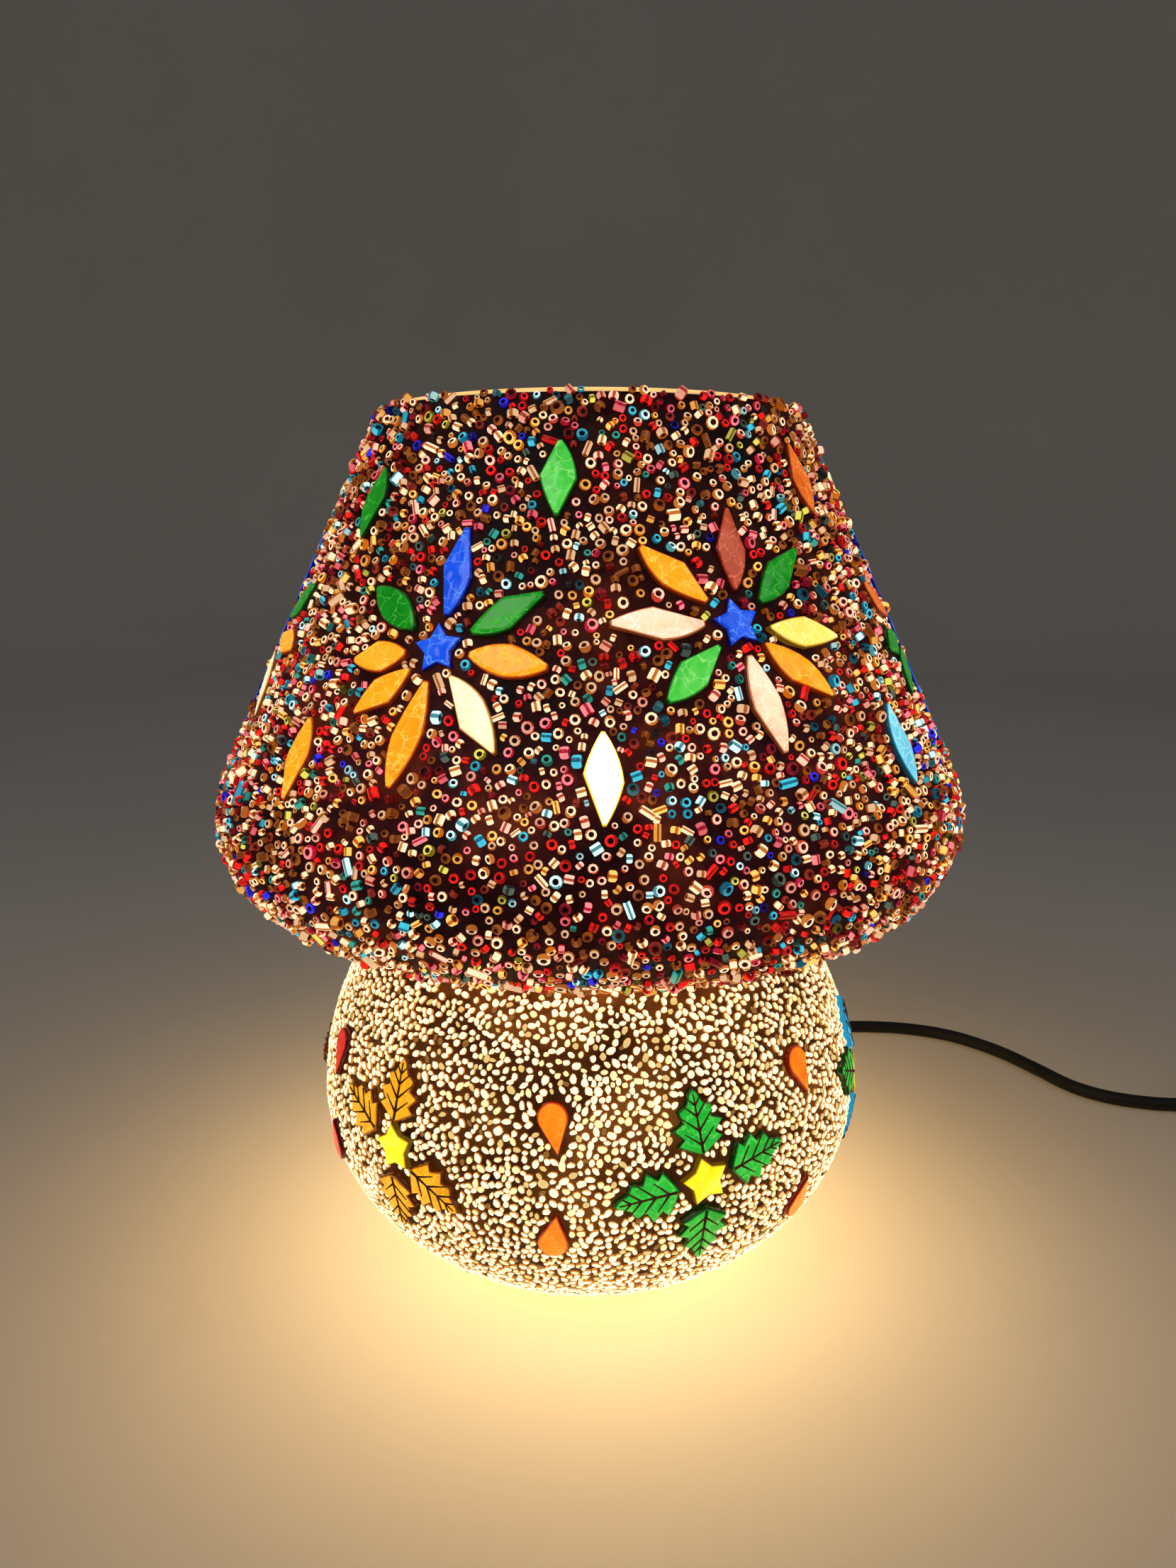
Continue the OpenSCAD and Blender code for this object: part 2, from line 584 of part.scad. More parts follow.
module switch_upper() {
    top = sw_h - sw_split;
    color("#161413") translate(switch_at + [0, 0, sw_split]) difference() {
        linear_extrude(top) rounded(sw_l, sw_w, sw_corner);
        difference() {
            translate([0, 0, -1]) linear_extrude(top - sw_wall + 1)
                rounded(sw_l - 2 * sw_wall, sw_w - 2 * sw_wall, sw_corner - sw_wall);
            for (s = [-1, 1]) {
                translate([s * sw_screw[0], s * sw_screw[1], -1]) cylinder(r = 3.4, h = sw_h);
                translate([-3, s * 7.7 - 1.5, 2]) cube([6, 3, sw_h]);
            }
        }
        translate([-rocker_r - 0.6, -rocker_w / 2 - 0.4, 0]) cube([2 * rocker_r + 1.2, rocker_w + 0.8, sw_h]);
        for (s = [-1, 1]) translate([s * sw_screw[0], s * sw_screw[1], -1]) {
            cylinder(r = 1.6, h = sw_h);
            translate([0, 0, top - 0.8]) cylinder(r = 2.8, h = sw_h);
        }
        translate([0, -9.5, pivot_z - sw_split]) rotate([-90, 0, 0]) cylinder(r = axle_r, h = 19);
    }
}
module switch_rocker() {
    color("#1f1d1c") translate(switch_at + [0, rocker_w / 2, pivot_z]) rotate([0, rocker_tilt, 0])
        rotate([90, 0, 0]) linear_extrude(rocker_w) difference() {
            intersection() {
                circle(rocker_r);
                polygon([[-9, -3], [9, -3], [9, 5.6], [0, 3.8], [-9, 5.6]]);
            }
            circle(axle_r + run_gap);
        }
}
module switch_axle() {
    color("#b7b7b7") translate(switch_at + [0, -9.2, pivot_z]) rotate([-90, 0, 0])
        cylinder(r = axle_r, h = 18.4);
}
module switch_contacts() {
    color("#c9a24b") translate(switch_at) for (s = [-1, 1]) difference() {
        union() {
            translate([s * 17 - 3.5, -4, sw_wall]) cube([7, 8, 5]);
            translate([s * 10 - 7, -2, sw_wall + 4.4]) cube([14, 4, 0.6]);
        }
        translate([s * 17, 0, sw_wall + 1]) cylinder(r = 1.2, h = 9);
    }
}
module switch_screws() {
    color("#9c9c9c") translate(switch_at) for (s = [-1, 1]) translate([s * sw_screw[0], s * sw_screw[1], 0])
        difference() {
            union() {
                translate([0, 0, 4]) cylinder(r = 1.2, h = 13);
                translate([0, 0, sw_h - 1.6]) cylinder(r = 2.5, h = 1.3);
            }
            for (a = [0, 90]) rotate([0, 0, a]) translate([-1.8, -0.3, sw_h - 0.9]) cube([3.6, 0.6, 2]);
        }
}
// The plug lies flat, its pins away from the flex's end
module at_plug() {
    translate(plug_at) rotate([0, 0, plug_turn]) children();
}
module along_plug() {
    at_plug() rotate([0, -90, 0]) children();
}
pins_at = relief_l + plug_l;
module plug_body() {
    color("#161413") {
        along_plug() rotate_extrude() polygon([[0, 0], [3.4, 0], [5, relief_l], [0, relief_l]]);
        shoulder = relief_l + plug_l * 0.45;
        side = [[-relief_l, plug_rear_w / 2], [-shoulder, plug_w / 2 - 1], [3 - pins_at, plug_w / 2],
            [-pins_at, plug_w / 2 - 3]];
        at_plug() difference() {
            translate([0, 0, -plug_h / 2]) linear_extrude(plug_h)
                polygon(concat(side, [for (i = [3:-1:0]) [side[i][0], -side[i][1]]]));
            for (s = [-1, 1]) translate([-pins_at - 1, s * pin_gap / 2, 0]) rotate([0, 90, 0])
                cylinder(r = pin_core_r, h = 11);
        }
    }
}
module plug_pins() {
    free = pins_at + sleeve_l;
    color("#c9c9c4") along_plug() for (s = [-1, 1]) translate([0, s * pin_gap / 2, 0])
        rotate_extrude() polygon([[0, pins_at - 10], [pin_core_r, pins_at - 10], [pin_core_r, free],
            [pin_r, free], [pin_r, pins_at + pin_l - pin_round], [pin_r - pin_round, pins_at + pin_l],
            [0, pins_at + pin_l]]);
}
module plug_sleeves() {
    color("#161413") along_plug() for (s = [-1, 1]) translate([0, s * pin_gap / 2, pins_at])
        tube(sleeve_r, pin_core_r, sleeve_l);
}

glass_shade_side();
glass_shoulder_upper();
glass_shoulder_lower();
glass_shade_floor();
glass_base_upper();
glass_base_lower();
shade_bead_layer();
base_chip_layer();
shade_flower_1();
shade_flower_2();
shade_flower_3();
shade_flower_4();
shade_flower_5();
shade_flower_6();
shade_flower_7();
shade_flower_stars();
shade_upper_diamonds();
shade_lower_diamonds();
base_flower_1();
base_flower_2();
base_flower_3();
base_flower_4();
base_flower_5();
base_flower_6();
base_flower_stars();
base_drops();
foot_pad();
stem_pipe();
stem_nuts();
stem_steel_washers();
stem_rubber_washers();
holder_cap();
holder_core();
holder_sleeve();
holder_thread_shell();
holder_centre_contact();
holder_screws();
holder_leads();
bulb_glass();
bulb_cap();
bulb_insulator();
bulb_tip();
bulb_mount();
bulb_filaments();
cord_inside();
cord_grommet();
cord_run();
cord_link();
cord_coil();
coil_tie();
cord_tail();
switch_lower();
switch_upper();
switch_rocker();
switch_axle();
switch_contacts();
switch_screws();
plug_body();
plug_pins();
plug_sleeves();
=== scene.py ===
"""A lit mosaic glass table lamp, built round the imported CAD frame.

Lengths are millimetres until a mesh is made.
"""
import math
import random

import bpy
import numpy as np
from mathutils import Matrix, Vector, noise


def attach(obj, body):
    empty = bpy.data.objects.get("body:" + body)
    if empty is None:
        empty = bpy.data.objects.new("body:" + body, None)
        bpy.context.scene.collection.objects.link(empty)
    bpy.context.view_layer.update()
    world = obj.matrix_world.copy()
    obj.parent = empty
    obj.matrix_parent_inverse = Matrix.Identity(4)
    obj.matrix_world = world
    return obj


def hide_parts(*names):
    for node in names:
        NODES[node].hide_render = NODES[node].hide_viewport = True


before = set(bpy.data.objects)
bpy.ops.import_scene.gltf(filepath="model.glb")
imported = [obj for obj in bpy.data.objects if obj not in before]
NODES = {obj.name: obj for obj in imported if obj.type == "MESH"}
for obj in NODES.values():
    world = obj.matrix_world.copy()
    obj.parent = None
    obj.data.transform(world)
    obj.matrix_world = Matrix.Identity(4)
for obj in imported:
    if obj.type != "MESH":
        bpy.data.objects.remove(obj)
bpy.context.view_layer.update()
MM = 0.001
RNG = random.Random(831)
NPR = np.random.default_rng(831)



def put(name, data):
    """A new object in the scene."""
    o = bpy.data.objects.new(name, data)
    bpy.context.scene.collection.objects.link(o)
    return o


# ---- camera
PHOTO_H, FOCAL_PX, SENSOR, LOOK_DOWN = 2212, 1641, 36, 12.02
camera_data = bpy.data.cameras.new("camera")
camera_data.sensor_width = SENSOR
camera_data.lens = SENSOR * FOCAL_PX / PHOTO_H
camera_data.clip_start = 0.01
camera_data.clip_end = 20
camera = put("camera", camera_data)
camera.location = (-0.0003, -0.3422, 0.2156)
camera.rotation_euler = (math.radians(90 - LOOK_DOWN), 0, 0)
bpy.context.scene.camera = camera

# ---- shape of the lamp, as part.scad has it
LAMP_H, SHADE_R, SLOPE, SHOULDER_R = 250, 105, math.radians(25), 26.5
UNDER_Z, BASE_R, BASE_Z, WALL = 112.5, 79.5, 53, 3
SHOULDER_C = (SHADE_R - SHOULDER_R, UNDER_Z + SHOULDER_R)
DOME_UP, DOME_DOWN, FOOT_Z = 77, 59, 2
FILLET, KICK_R, KICK_Z, KICK_FOOT_R, STEM_HOLE_R = 4, 22, 11, 30, 5.3
EXIT_TURN, EXIT_Z = math.radians(152), 30
CORD_D = 5


def side_r(z, d=0.0):
    return SHOULDER_C[0] + (SHOULDER_R + d - (z - SHOULDER_C[1]) * math.sin(SLOPE)) / math.cos(SLOPE)


def dome_r(z, d=0.0):
    half = (DOME_UP if z > BASE_Z else DOME_DOWN) + d
    return (BASE_R + d) * math.sqrt(max(0.0, 1 - ((z - BASE_Z) / half) ** 2))


def dome_lean(z):
    half = DOME_UP if z > BASE_Z else DOME_DOWN
    return math.atan((z - BASE_Z) / half ** 2 * BASE_R ** 2 / max(dome_r(z), 1e-6))


def arc(c, r, start, end, n):
    angles = np.radians(np.linspace(start, end, n + 1))
    return [(c[0] + r * math.cos(a), c[1] + r * math.sin(a)) for a in angles]


def dome_curve(z0, z1, d, n):
    half = (DOME_UP if z0 + z1 > 2 * BASE_Z else DOME_DOWN) + d
    a0, a1 = (math.asin((z - BASE_Z) / half) for z in (z0, z1))
    return [((BASE_R + d) * math.cos(a), BASE_Z + half * math.sin(a)) for a in np.linspace(a0, a1, n + 1)]


def wall_frame(turn, lean):
    """Columns: right, up the slope, outwards."""
    c, s = math.cos(turn), math.sin(turn)
    cl, sl = math.cos(lean), math.sin(lean)
    return np.array([[c, -s * sl, s * cl], [s, c * sl, -c * cl], [0, cl, sl]])


def on_wall(turn, r, z, lean):
    origin = np.array([math.sin(turn) * r, -math.cos(turn) * r, z])
    return origin, wall_frame(turn, lean)


def on_shade(turn_deg, z):
    return on_wall(math.radians(turn_deg), side_r(z, 0.05), z, SLOPE)


def on_base(turn_deg, z):
    return on_wall(math.radians(turn_deg), dome_r(z, 0.05), z, dome_lean(z))


# ---- materials
def srgb(h):
    """A hex colour as linear RGB."""
    v = [int(h[i:i + 2], 16) / 255 for i in (1, 3, 5)]
    return [x / 12.92 if x <= 0.04045 else ((x + 0.055) / 1.055) ** 2.4 for x in v]


def rgba(c):
    """Linear RGBA of a hex colour, of linear RGB or of one grey level."""
    return (*(srgb(c) if isinstance(c, str) else c if np.ndim(c) else [c] * 3), 1.0)


def setup(n, **values):
    """Set a node's own settings, or else its sockets, by name."""
    for key, value in values.items():
        if hasattr(n, key):
            setattr(n, key, value)
        else:
            n.inputs[key.replace("_", " ")].default_value = value
    return n


def new_material(name, **sockets):
    m = bpy.data.materials.new(name)
    m.use_nodes = True
    m.cycles.emission_sampling = "NONE"
    return m, m.node_tree, setup(m.node_tree.nodes["Principled BSDF"], **sockets)


def plain_glass(name, colour, strength, rough=0.14, body=None):
    """A small glass bead or chip face: the colour of its painted glow, and a body colour under it."""
    return new_material(name, Base_Color=rgba(body or [c * 0.5 for c in colour]), Roughness=rough, IOR=1.5,
                        Emission_Color=rgba(colour), Emission_Strength=strength)[0]


def node(tree, kind, **values):
    return setup(tree.nodes.new(kind), **values)


def mixed(tree, factor, a, b, blend_type="MIX"):
    """Two colours mixed, or the second multiplied into the first; each input is a socket or a value."""
    n = node(tree, "ShaderNodeMix", data_type="RGBA", blend_type=blend_type)
    for index, source in ((0, factor), (6, a), (7, b)):
        if isinstance(source, bpy.types.NodeSocket):
            tree.links.new(source, n.inputs[index])
        else:
            n.inputs[index].default_value = source
    return n.outputs[2]


def times(tree, source, k):
    n = node(tree, "ShaderNodeMath", operation="MULTIPLY")
    n.inputs[1].default_value = k
    tree.links.new(source, n.inputs[0])
    return n.outputs[0]


def parts_of(tree, vector):
    n = node(tree, "ShaderNodeSeparateXYZ")
    tree.links.new(vector, n.inputs[0])
    return n.outputs


def height_share(tree, point):
    """0 at the table to 1 at the top of the lamp."""
    return times(tree, parts_of(tree, point)["Z"], 1000 / LAMP_H)


def ramp(tree, source, stops):
    r = tree.nodes.new("ShaderNodeValToRGB")
    while len(r.color_ramp.elements) < len(stops):
        r.color_ramp.elements.new(0.5)
    for e, (at, colour) in zip(r.color_ramp.elements, stops):
        e.position = at
        e.color = rgba(colour)
    tree.links.new(source, r.inputs["Fac"])
    return r.outputs["Color"]


def object_point(tree):
    return tree.nodes.new("ShaderNodeTexCoord").outputs["Object"]


def noise_fac(tree, point, scale, detail=3.0, rough=0.55, distortion=0.0):
    n = node(tree, "ShaderNodeTexNoise", Scale=scale, Detail=detail, Roughness=rough, Distortion=distortion)
    tree.links.new(point, n.inputs["Vector"])
    return n.outputs["Fac"]


def bump(tree, height, strength, distance, p):
    b = node(tree, "ShaderNodeBump", Strength=strength, Distance=distance)
    tree.links.new(height, b.inputs["Height"])
    tree.links.new(b.outputs["Normal"], p.inputs["Normal"])


def tile_glass(name, deep, main, light, strength, smooth=False):
    """Rolled glass with a painted glow of the light from behind, brightest along its fine wrinkles."""
    m, t, p = new_material(name, Emission_Strength=strength, Roughness=0.12, IOR=1.52, Coat_Weight=0.3)
    point = object_point(t)
    lines = node(t, "ShaderNodeTexVoronoi", feature="DISTANCE_TO_EDGE", Scale=170.0 if smooth else 240.0)
    warp = node(t, "ShaderNodeTexNoise", Scale=260.0, Detail=3.0)
    t.links.new(point, warp.inputs["Vector"])
    mix = node(t, "ShaderNodeMix", data_type="VECTOR")
    mix.inputs[0].default_value = 0.006
    t.links.new(point, mix.inputs[4])
    t.links.new(warp.outputs["Color"], mix.inputs[5])
    t.links.new(mix.outputs[1], lines.inputs["Vector"])
    cloud = noise_fac(t, point, 120.0, 4.0, 0.6, 0.6)
    bright = [a * 0.75 + b * 0.25 for a, b in zip(main, light)]
    body = ramp(t, cloud, [(0.3, deep), (0.5, main), (0.72, bright)])
    vein = ramp(t, lines.outputs["Distance"], [(0.0, 1), (0.06 if smooth else 0.045, 0)])
    colour = mixed(t, times(t, vein, 0.25 if smooth else 0.75), body, rgba(light))
    t.links.new(colour, p.inputs["Emission Color"])
    t.links.new(mixed(t, 1.0, colour, rgba(0.3), "MULTIPLY"), p.inputs["Base Color"])
    bump(t, vein, 0.25 if smooth else 0.5, 0.0003, p)
    return m


def bed(name, dark, mid, lit, heights):
    """Resin bed between the beads: dark, translucent in patches, with a painted glow that is strongest at
    some heights.
    """
    m, t, p = new_material(name, Emission_Strength=1.0, Specular_IOR_Level=0.22)
    point = object_point(t)
    patch = noise_fac(t, point, 42.0, 5.0, 0.6, 0.4)
    body = ramp(t, patch, [(0.36, dark), (0.52, mid), (0.74, lit)])
    t.links.new(body, p.inputs["Base Color"])
    # painted light: the emission is scaled by height, strongest where the bulb's light would fall
    share = ramp(t, height_share(t, point), [(z / LAMP_H, k) for z, k in heights])
    t.links.new(mixed(t, 1.0, body, share, "MULTIPLY"), p.inputs["Emission Color"])
    grain = noise_fac(t, point, 700.0, 4.0, 0.7)
    t.links.new(ramp(t, grain, [(0.2, 0.45), (0.8, 0.75)]), p.inputs["Roughness"])
    bump(t, grain, 0.4, 0.0004, p)
    return m


def finish_material(name, low, high, scale, rough, metallic=0.0, grain=0.0, distance=0.00005,
                    glow=None, **sockets):
    """A solid finish whose colour and roughness drift a little across the surface."""
    # glow is emitted light: the filament's own, and on the other parts that take it a painted glow
    if glow:
        sockets.update(Emission_Color=rgba(glow[0]), Emission_Strength=glow[1])
    m, t, p = new_material(name, Metallic=metallic, **sockets)
    point = object_point(t)
    fac = noise_fac(t, point, scale, 4.0, 0.6)
    t.links.new(ramp(t, fac, [(0.3, low), (0.7, high)]), p.inputs["Base Color"])
    t.links.new(ramp(t, fac, [(0.3, rough[0]), (0.7, rough[1])]), p.inputs["Roughness"])
    if grain:
        bump(t, noise_fac(t, point, scale * 6, 3.0, 0.6), grain, distance, p)
    return m


# ---- meshes
def make_piece(name, blocks, materials, replaces):
    """blocks: (points in mm, faces with the same number of corners, material index or one per face)."""
    offset, points, corners, sizes, tints = 0, [], [], [], []
    for v, f, m in blocks:
        v, f = np.asarray(v, float), np.asarray(f, int)
        points.append(v)
        corners.append((f + offset).ravel())
        sizes.append(np.full(len(f), f.shape[1]))
        tints.append(np.broadcast_to(np.asarray(m, int), len(f)))
        offset += len(v)
    points, corners = np.concatenate(points) * MM, np.concatenate(corners)
    sizes, tints = np.concatenate(sizes), np.concatenate(tints)
    mesh = bpy.data.meshes.new(name)
    mesh.vertices.add(len(points))
    mesh.vertices.foreach_set("co", points.astype(np.float32).ravel())
    mesh.loops.add(len(corners))
    mesh.loops.foreach_set("vertex_index", corners.astype(np.int32))
    mesh.polygons.add(len(sizes))
    mesh.polygons.foreach_set("loop_start", np.concatenate([[0], np.cumsum(sizes)[:-1]]).astype(np.int32))
    mesh.polygons.foreach_set("material_index", tints.astype(np.int32))
    mesh.polygons.foreach_set("use_smooth", np.full(len(sizes), True))
    for m in materials:
        mesh.materials.append(m)
    mesh.update(calc_edges=True)
    mesh.validate()
    o = put(name, mesh)
    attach(o, "root")
    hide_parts(*replaces)


def ring_faces(rows, cols, closed_rows=False):
    """Quads of a grid whose columns close round; rows close too if asked."""
    r = np.arange(rows if closed_rows else rows - 1)[:, None]
    c = np.arange(cols)[None, :]
    nr, nc = (r + 1) % rows, (c + 1) % cols
    return np.stack([r * cols + c, r * cols + nc, nr * cols + nc, nr * cols + c], axis=-1).reshape(-1, 4)


def turned(profile, angles):
    """The points of a profile of (r, z) at each angle round +Z: rows x angles x 3."""
    p = np.array(profile, float)
    return np.stack([p[:, None, 0] * np.cos(angles), p[:, None, 0] * np.sin(angles),
                     np.broadcast_to(p[:, 1:2], (len(p), len(angles)))], axis=-1)


def revolve(profile, cols, wobble=None):
    """A closed profile of (r, z) turned round +Z; wobble may move the whole grid of points."""
    pts = turned(profile, np.linspace(0, 2 * math.pi, cols, endpoint=False))
    if wobble is not None:
        pts = wobble(pts)
    return pts.reshape(-1, 3), ring_faces(len(profile), cols, True)


def stamp(template, faces, origins, frames, scales, jitter=1):
    """Copies of one template: points n*k x 3 and faces; jitter scales each point of each copy."""
    k, n = len(template), len(origins)
    local = template[None, :, :] * scales[:, None, :] * jitter
    pts = np.einsum("nij,nkj->nki", frames, local) + origins[:, None, :]
    f = faces[None, :, :] + (np.arange(n) * k)[:, None, None]
    return pts.reshape(-1, 3), f.reshape(-1, faces.shape[1])


def noise_at(x, y, z):
    return noise.noise(Vector((x, y, z)))


# ---- the flex
RELIEF_L = 26  # from the wall to the end of the strain relief
EXIT_AT, EXIT_AXES = on_wall(EXIT_TURN, dome_r(EXIT_Z), EXIT_Z, dome_lean(EXIT_Z))
OUT_DIR = EXIT_AXES[:, 2]
RELIEF_END = EXIT_AT + OUT_DIR * RELIEF_L
RUN = [tuple(RELIEF_END - OUT_DIR * 6), tuple(RELIEF_END), tuple(RELIEF_END + OUT_DIR * 9), (59, 107, 5),
       (67, 119, 2.7), (79, 131, 2.5), (96, 139, 2.5), (117, 141, 2.5), (139, 139, 2.5), (158, 131, 2.5),
       (173, 116, 2.5), (183, 99, 2.5), (191, 84, 2.5), (201, 75, 2.5), (214, 70, 2.5), (226, 68, 2.7),
       (236, 67, 4.2), (245, 67, 5), (250, 67, 5)]
THROUGH = [(262, 67, 5), (275, 67, 5), (288, 67, 5)]
LINK = [(300, 67, 5), (305, 67, 5), (317, 67, 4.2), (329, 66, 3), (341, 61.5, 2.5), (350.5, 53, 2.5),
        (356.5, 42, 2.5), (358.8, 29, 2.5), (358.4, 17, 2.5)]
TAIL = [(311, -25, 12.3), (300, -26, 12.3), (289.2, -27.5, 10.8), (278.4, -29.6, 8.6), (269.7, -31.8, 7.2),
        (262.9, -33.6, 7), (257.1, -35.15, 7)]
COIL_AT, COIL_R, COIL_END, COIL_STEP = (322, 8), 35.0, 2250, 15
# Degrees turned when the flex starts to move in, up, out and into the groove, and how long a move takes
MOVE_IN, MOVE_UP, MOVE_OUT, TO_GROOVE, MOVE_OVER = (320, 680), 1000, (1320, 1680), 2000, 40
GROOVE_RISE = 4.33


def ease(turned_by, start):
    t = min(1.0, max(0.0, (turned_by - start) / MOVE_OVER))
    return t * t * (3 - 2 * t)


def coil_point(turned_by):
    """Where the flex is after turning this far clockwise: in, up, out, and up into the groove."""
    r = COIL_R - CORD_D * sum(ease(turned_by, a) for a in MOVE_IN)
    r += CORD_D * sum(ease(turned_by, a) for a in MOVE_OUT)
    z = CORD_D / 2 + CORD_D * ease(turned_by, MOVE_UP)
    up = ease(turned_by, TO_GROOVE)
    r, z = r - up * CORD_D / 2, z + up * GROOVE_RISE
    a = math.radians(-turned_by)
    return (COIL_AT[0] + r * math.cos(a), COIL_AT[1] + r * math.sin(a), z)


def smooth_curve(points, k):
    p = [np.array(q, float) for q in points]
    out = []
    for i in range(len(p) - 1):
        a, b, c, d = p[max(i - 1, 0)], p[i], p[i + 1], p[min(i + 2, len(p) - 1)]
        for j in range(k):
            t = j / k
            out.append(0.5 * (2 * b + (c - a) * t + (2 * a - 5 * b + 4 * c - d) * t * t
                              + (3 * b - a - 3 * c + d) * t ** 3))
    return out + [p[-1]]


coil = [coil_point(a) for a in range(0, COIL_END + 1, COIL_STEP)]
route = smooth_curve(RUN + THROUGH + LINK + coil[:1], 4)[:-1] + coil[:-1]
route += smooth_curve(coil[-1:] + TAIL, 4)
cord_curve = bpy.data.curves.new("cord", "CURVE")
cord_curve.dimensions = "3D"
cord_curve.bevel_depth = CORD_D / 2 * MM
cord_curve.bevel_resolution = 3
cord_curve.use_fill_caps = True
spline = cord_curve.splines.new("POLY")
spline.points.add(len(route) - 1)
for i, q in enumerate(route):
    spline.points[i].co = (*(x * MM for x in q), 1)
spline.use_smooth = True
cord = put("cord", cord_curve)
FLEX = finish_material("flex_pvc", [0.002, 0.002, 0.002], [0.007, 0.0065, 0.006], 90, (0.42, 0.58),
                       grain=0.2, Specular_IOR_Level=0.3)
cord_curve.materials.append(FLEX)
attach(cord, "root")
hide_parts("cord_run", "cord_link", "cord_coil", "cord_tail")

# ---- motifs: outlines in the wall's own plane
# For every other flower, each petal's direction and how far out its tip is
PETALS = [
    [(87, 29.7), (31, 26.7), (-8, 26.7), (-53, 29.7), (-99, 33.7), (-139, 25.7), (-170, 23.7), (146, 25.7)],
    [(83, 28.7), (39, 28.7), (-9, 29.7), (-40, 29.7), (-80, 31.7), (-138, 26.7), (179, 29.7), (137, 27.7)]]
SHADE_FLOWERS = [(-23.5, 190), (23.8, 195.5), (77, 190), (128, 193), (180, 191), (231, 195), (283, 190)]
FLOWER_TINTS = [
    ["blue", "green", "amber", "pale", "amber", "amber", "amber", "green"],
    ["rose", "green", "yellow", "amber", "cream", "mint", "cream", "amber"],
    ["blue", "green", "amber", "pale", "blue", "green", "green", "orange"]]
TINTS_IN_TURN = (0, 1, 2, 1)
UPPER_DIAMONDS = [(-49, 223, "green"), (-6, 228, "mint"), (51, 229, "orange"), (103, 226, "green"),
                  (154, 228, "amber"), (206, 225, "green"), (257, 227, "orange")]
# The front diamond takes the hot tint: a painted highlight of the bulb behind it.
LOWER_DIAMONDS = [(-45, 163, "amber"), (1.8, 164, "hot"), (52, 165, "cyan"), (102, 163, "amber"),
                  (154, 164, "pale"), (205, 163, "cyan"), (257, 164, "amber")]
BASE_FLOWERS = [(-39, 58.5, "gold"), (21.2, 56.5, "leaf"), (78, 58, ["teal", "leaf", "leaf", "teal"]),
                (140, 57, "gold"), (200, 58, "leaf"), (262, 57, "gold")]
LEAF_TURNS = [[90, 156, -30, -90], [96, -171, 12, -90]]
BASE_DROPS = [(-6.3, 71.8, 44.2, "drop"), (46.3, 75.5, 40, "drop"), (109, 73, 42, "drop"),
              (170, 74, 43, "drop"), (231, 73, 42, "drop"), (297, 72.5, 47, "red")]
PETAL_IN, PETAL_W, STAR_R = 7.8, 8.2, 6
UPPER_SIZE, LOWER_SIZE = (19, 9), (21, 9)
LEAF_L, LEAF_W, LEAF_OUT, LEAF_TEETH = 16, 12, 15, 4
DROP_L, DROP_W, TILE_T = 13.4, 8, 2.5


def rotate2(points, degrees):
    a = math.radians(degrees)
    c, s = math.cos(a), math.sin(a)
    return np.array([(x * c - y * s, x * s + y * c) for x, y in points])


def rhomb(length, width):
    """A hand-cut rhombus: blunt tips, side corners not quite opposite, and some edges ground to a curve."""
    skew, tip = RNG.uniform(-0.075, 0.075) * length, RNG.uniform(0.35, 0.7)
    half, side = length / 2, width / 2
    corners = [(-half, tip), (-half, -tip), (skew, -side), (half, -tip), (half, tip), (-skew, side)]
    out = []
    for i, (a, b) in enumerate(zip(corners, corners[1:] + corners[:1])):
        out.append(a)
        if i in (0, 3):
            continue
        bulge = RNG.choice((0.0, 0.4, 0.8))
        span = math.dist(a, b)
        across = ((b[1] - a[1]) / span, (a[0] - b[0]) / span)
        for k in (0.2, 0.4, 0.6, 0.8):
            push = bulge * 4 * k * (1 - k)
            out.append(tuple(p + (q - p) * k + w * push for p, q, w in zip(a, b, across)))
    return out


def star_outline(grow, waist):
    """A five-pointed star, with its inner corners at waist times its radius."""
    r = STAR_R * grow
    return [(q * math.cos(a), q * math.sin(a)) for i in range(10)
            for a, q in [(math.radians(90 + i * 36), r if i % 2 == 0 else r * waist)]]


LEAF_GROW = 1.07  # the pressed leaf's length against the solid that it stands for


def leaf_outline():
    def half(t):
        return LEAF_W / 2 * 1.2 * math.sin(math.pi * t ** 0.68) ** 0.9

    def side(s):
        out = []
        for i in range(LEAF_TEETH):
            t = (i + 0.12) / LEAF_TEETH
            out.append((t * LEAF_L, s * half(t) * 0.62))
            t = (i + 0.8) / LEAF_TEETH
            out.append((t * LEAF_L, s * half(t)))
        return out
    pts = [(0, 0)] + side(-1) + [(LEAF_L, 0)] + side(1)[::-1]
    return [(x * LEAF_GROW - LEAF_L / 2, y) for x, y in pts]


def drop_outline():
    r = DROP_W / 2
    c = -DROP_L / 2 + r
    touch = math.degrees(math.asin(r / (DROP_L - r)))
    return [(0, DROP_L / 2)] + arc((0, c), r, 180 - touch, 360 + touch, 22)


class Tile:
    def __init__(self, kind, group, tint, place, outline, turn):
        self.kind, self.group, self.tint = kind, group, tint
        self.origin, self.axes = place
        self.outline = rotate2(outline, turn)
        self.turn = turn


def beside(turn, z, out, direction, lean_at, radius_at):
    """The turn and height of a wall's point that lies out millimetres from (turn, z) in a direction."""
    a = math.radians(direction)
    up = out * math.sin(a)
    pz = z + up * math.cos(lean_at(z + up))
    return turn + math.degrees(out * math.cos(a) / radius_at(pz)), pz


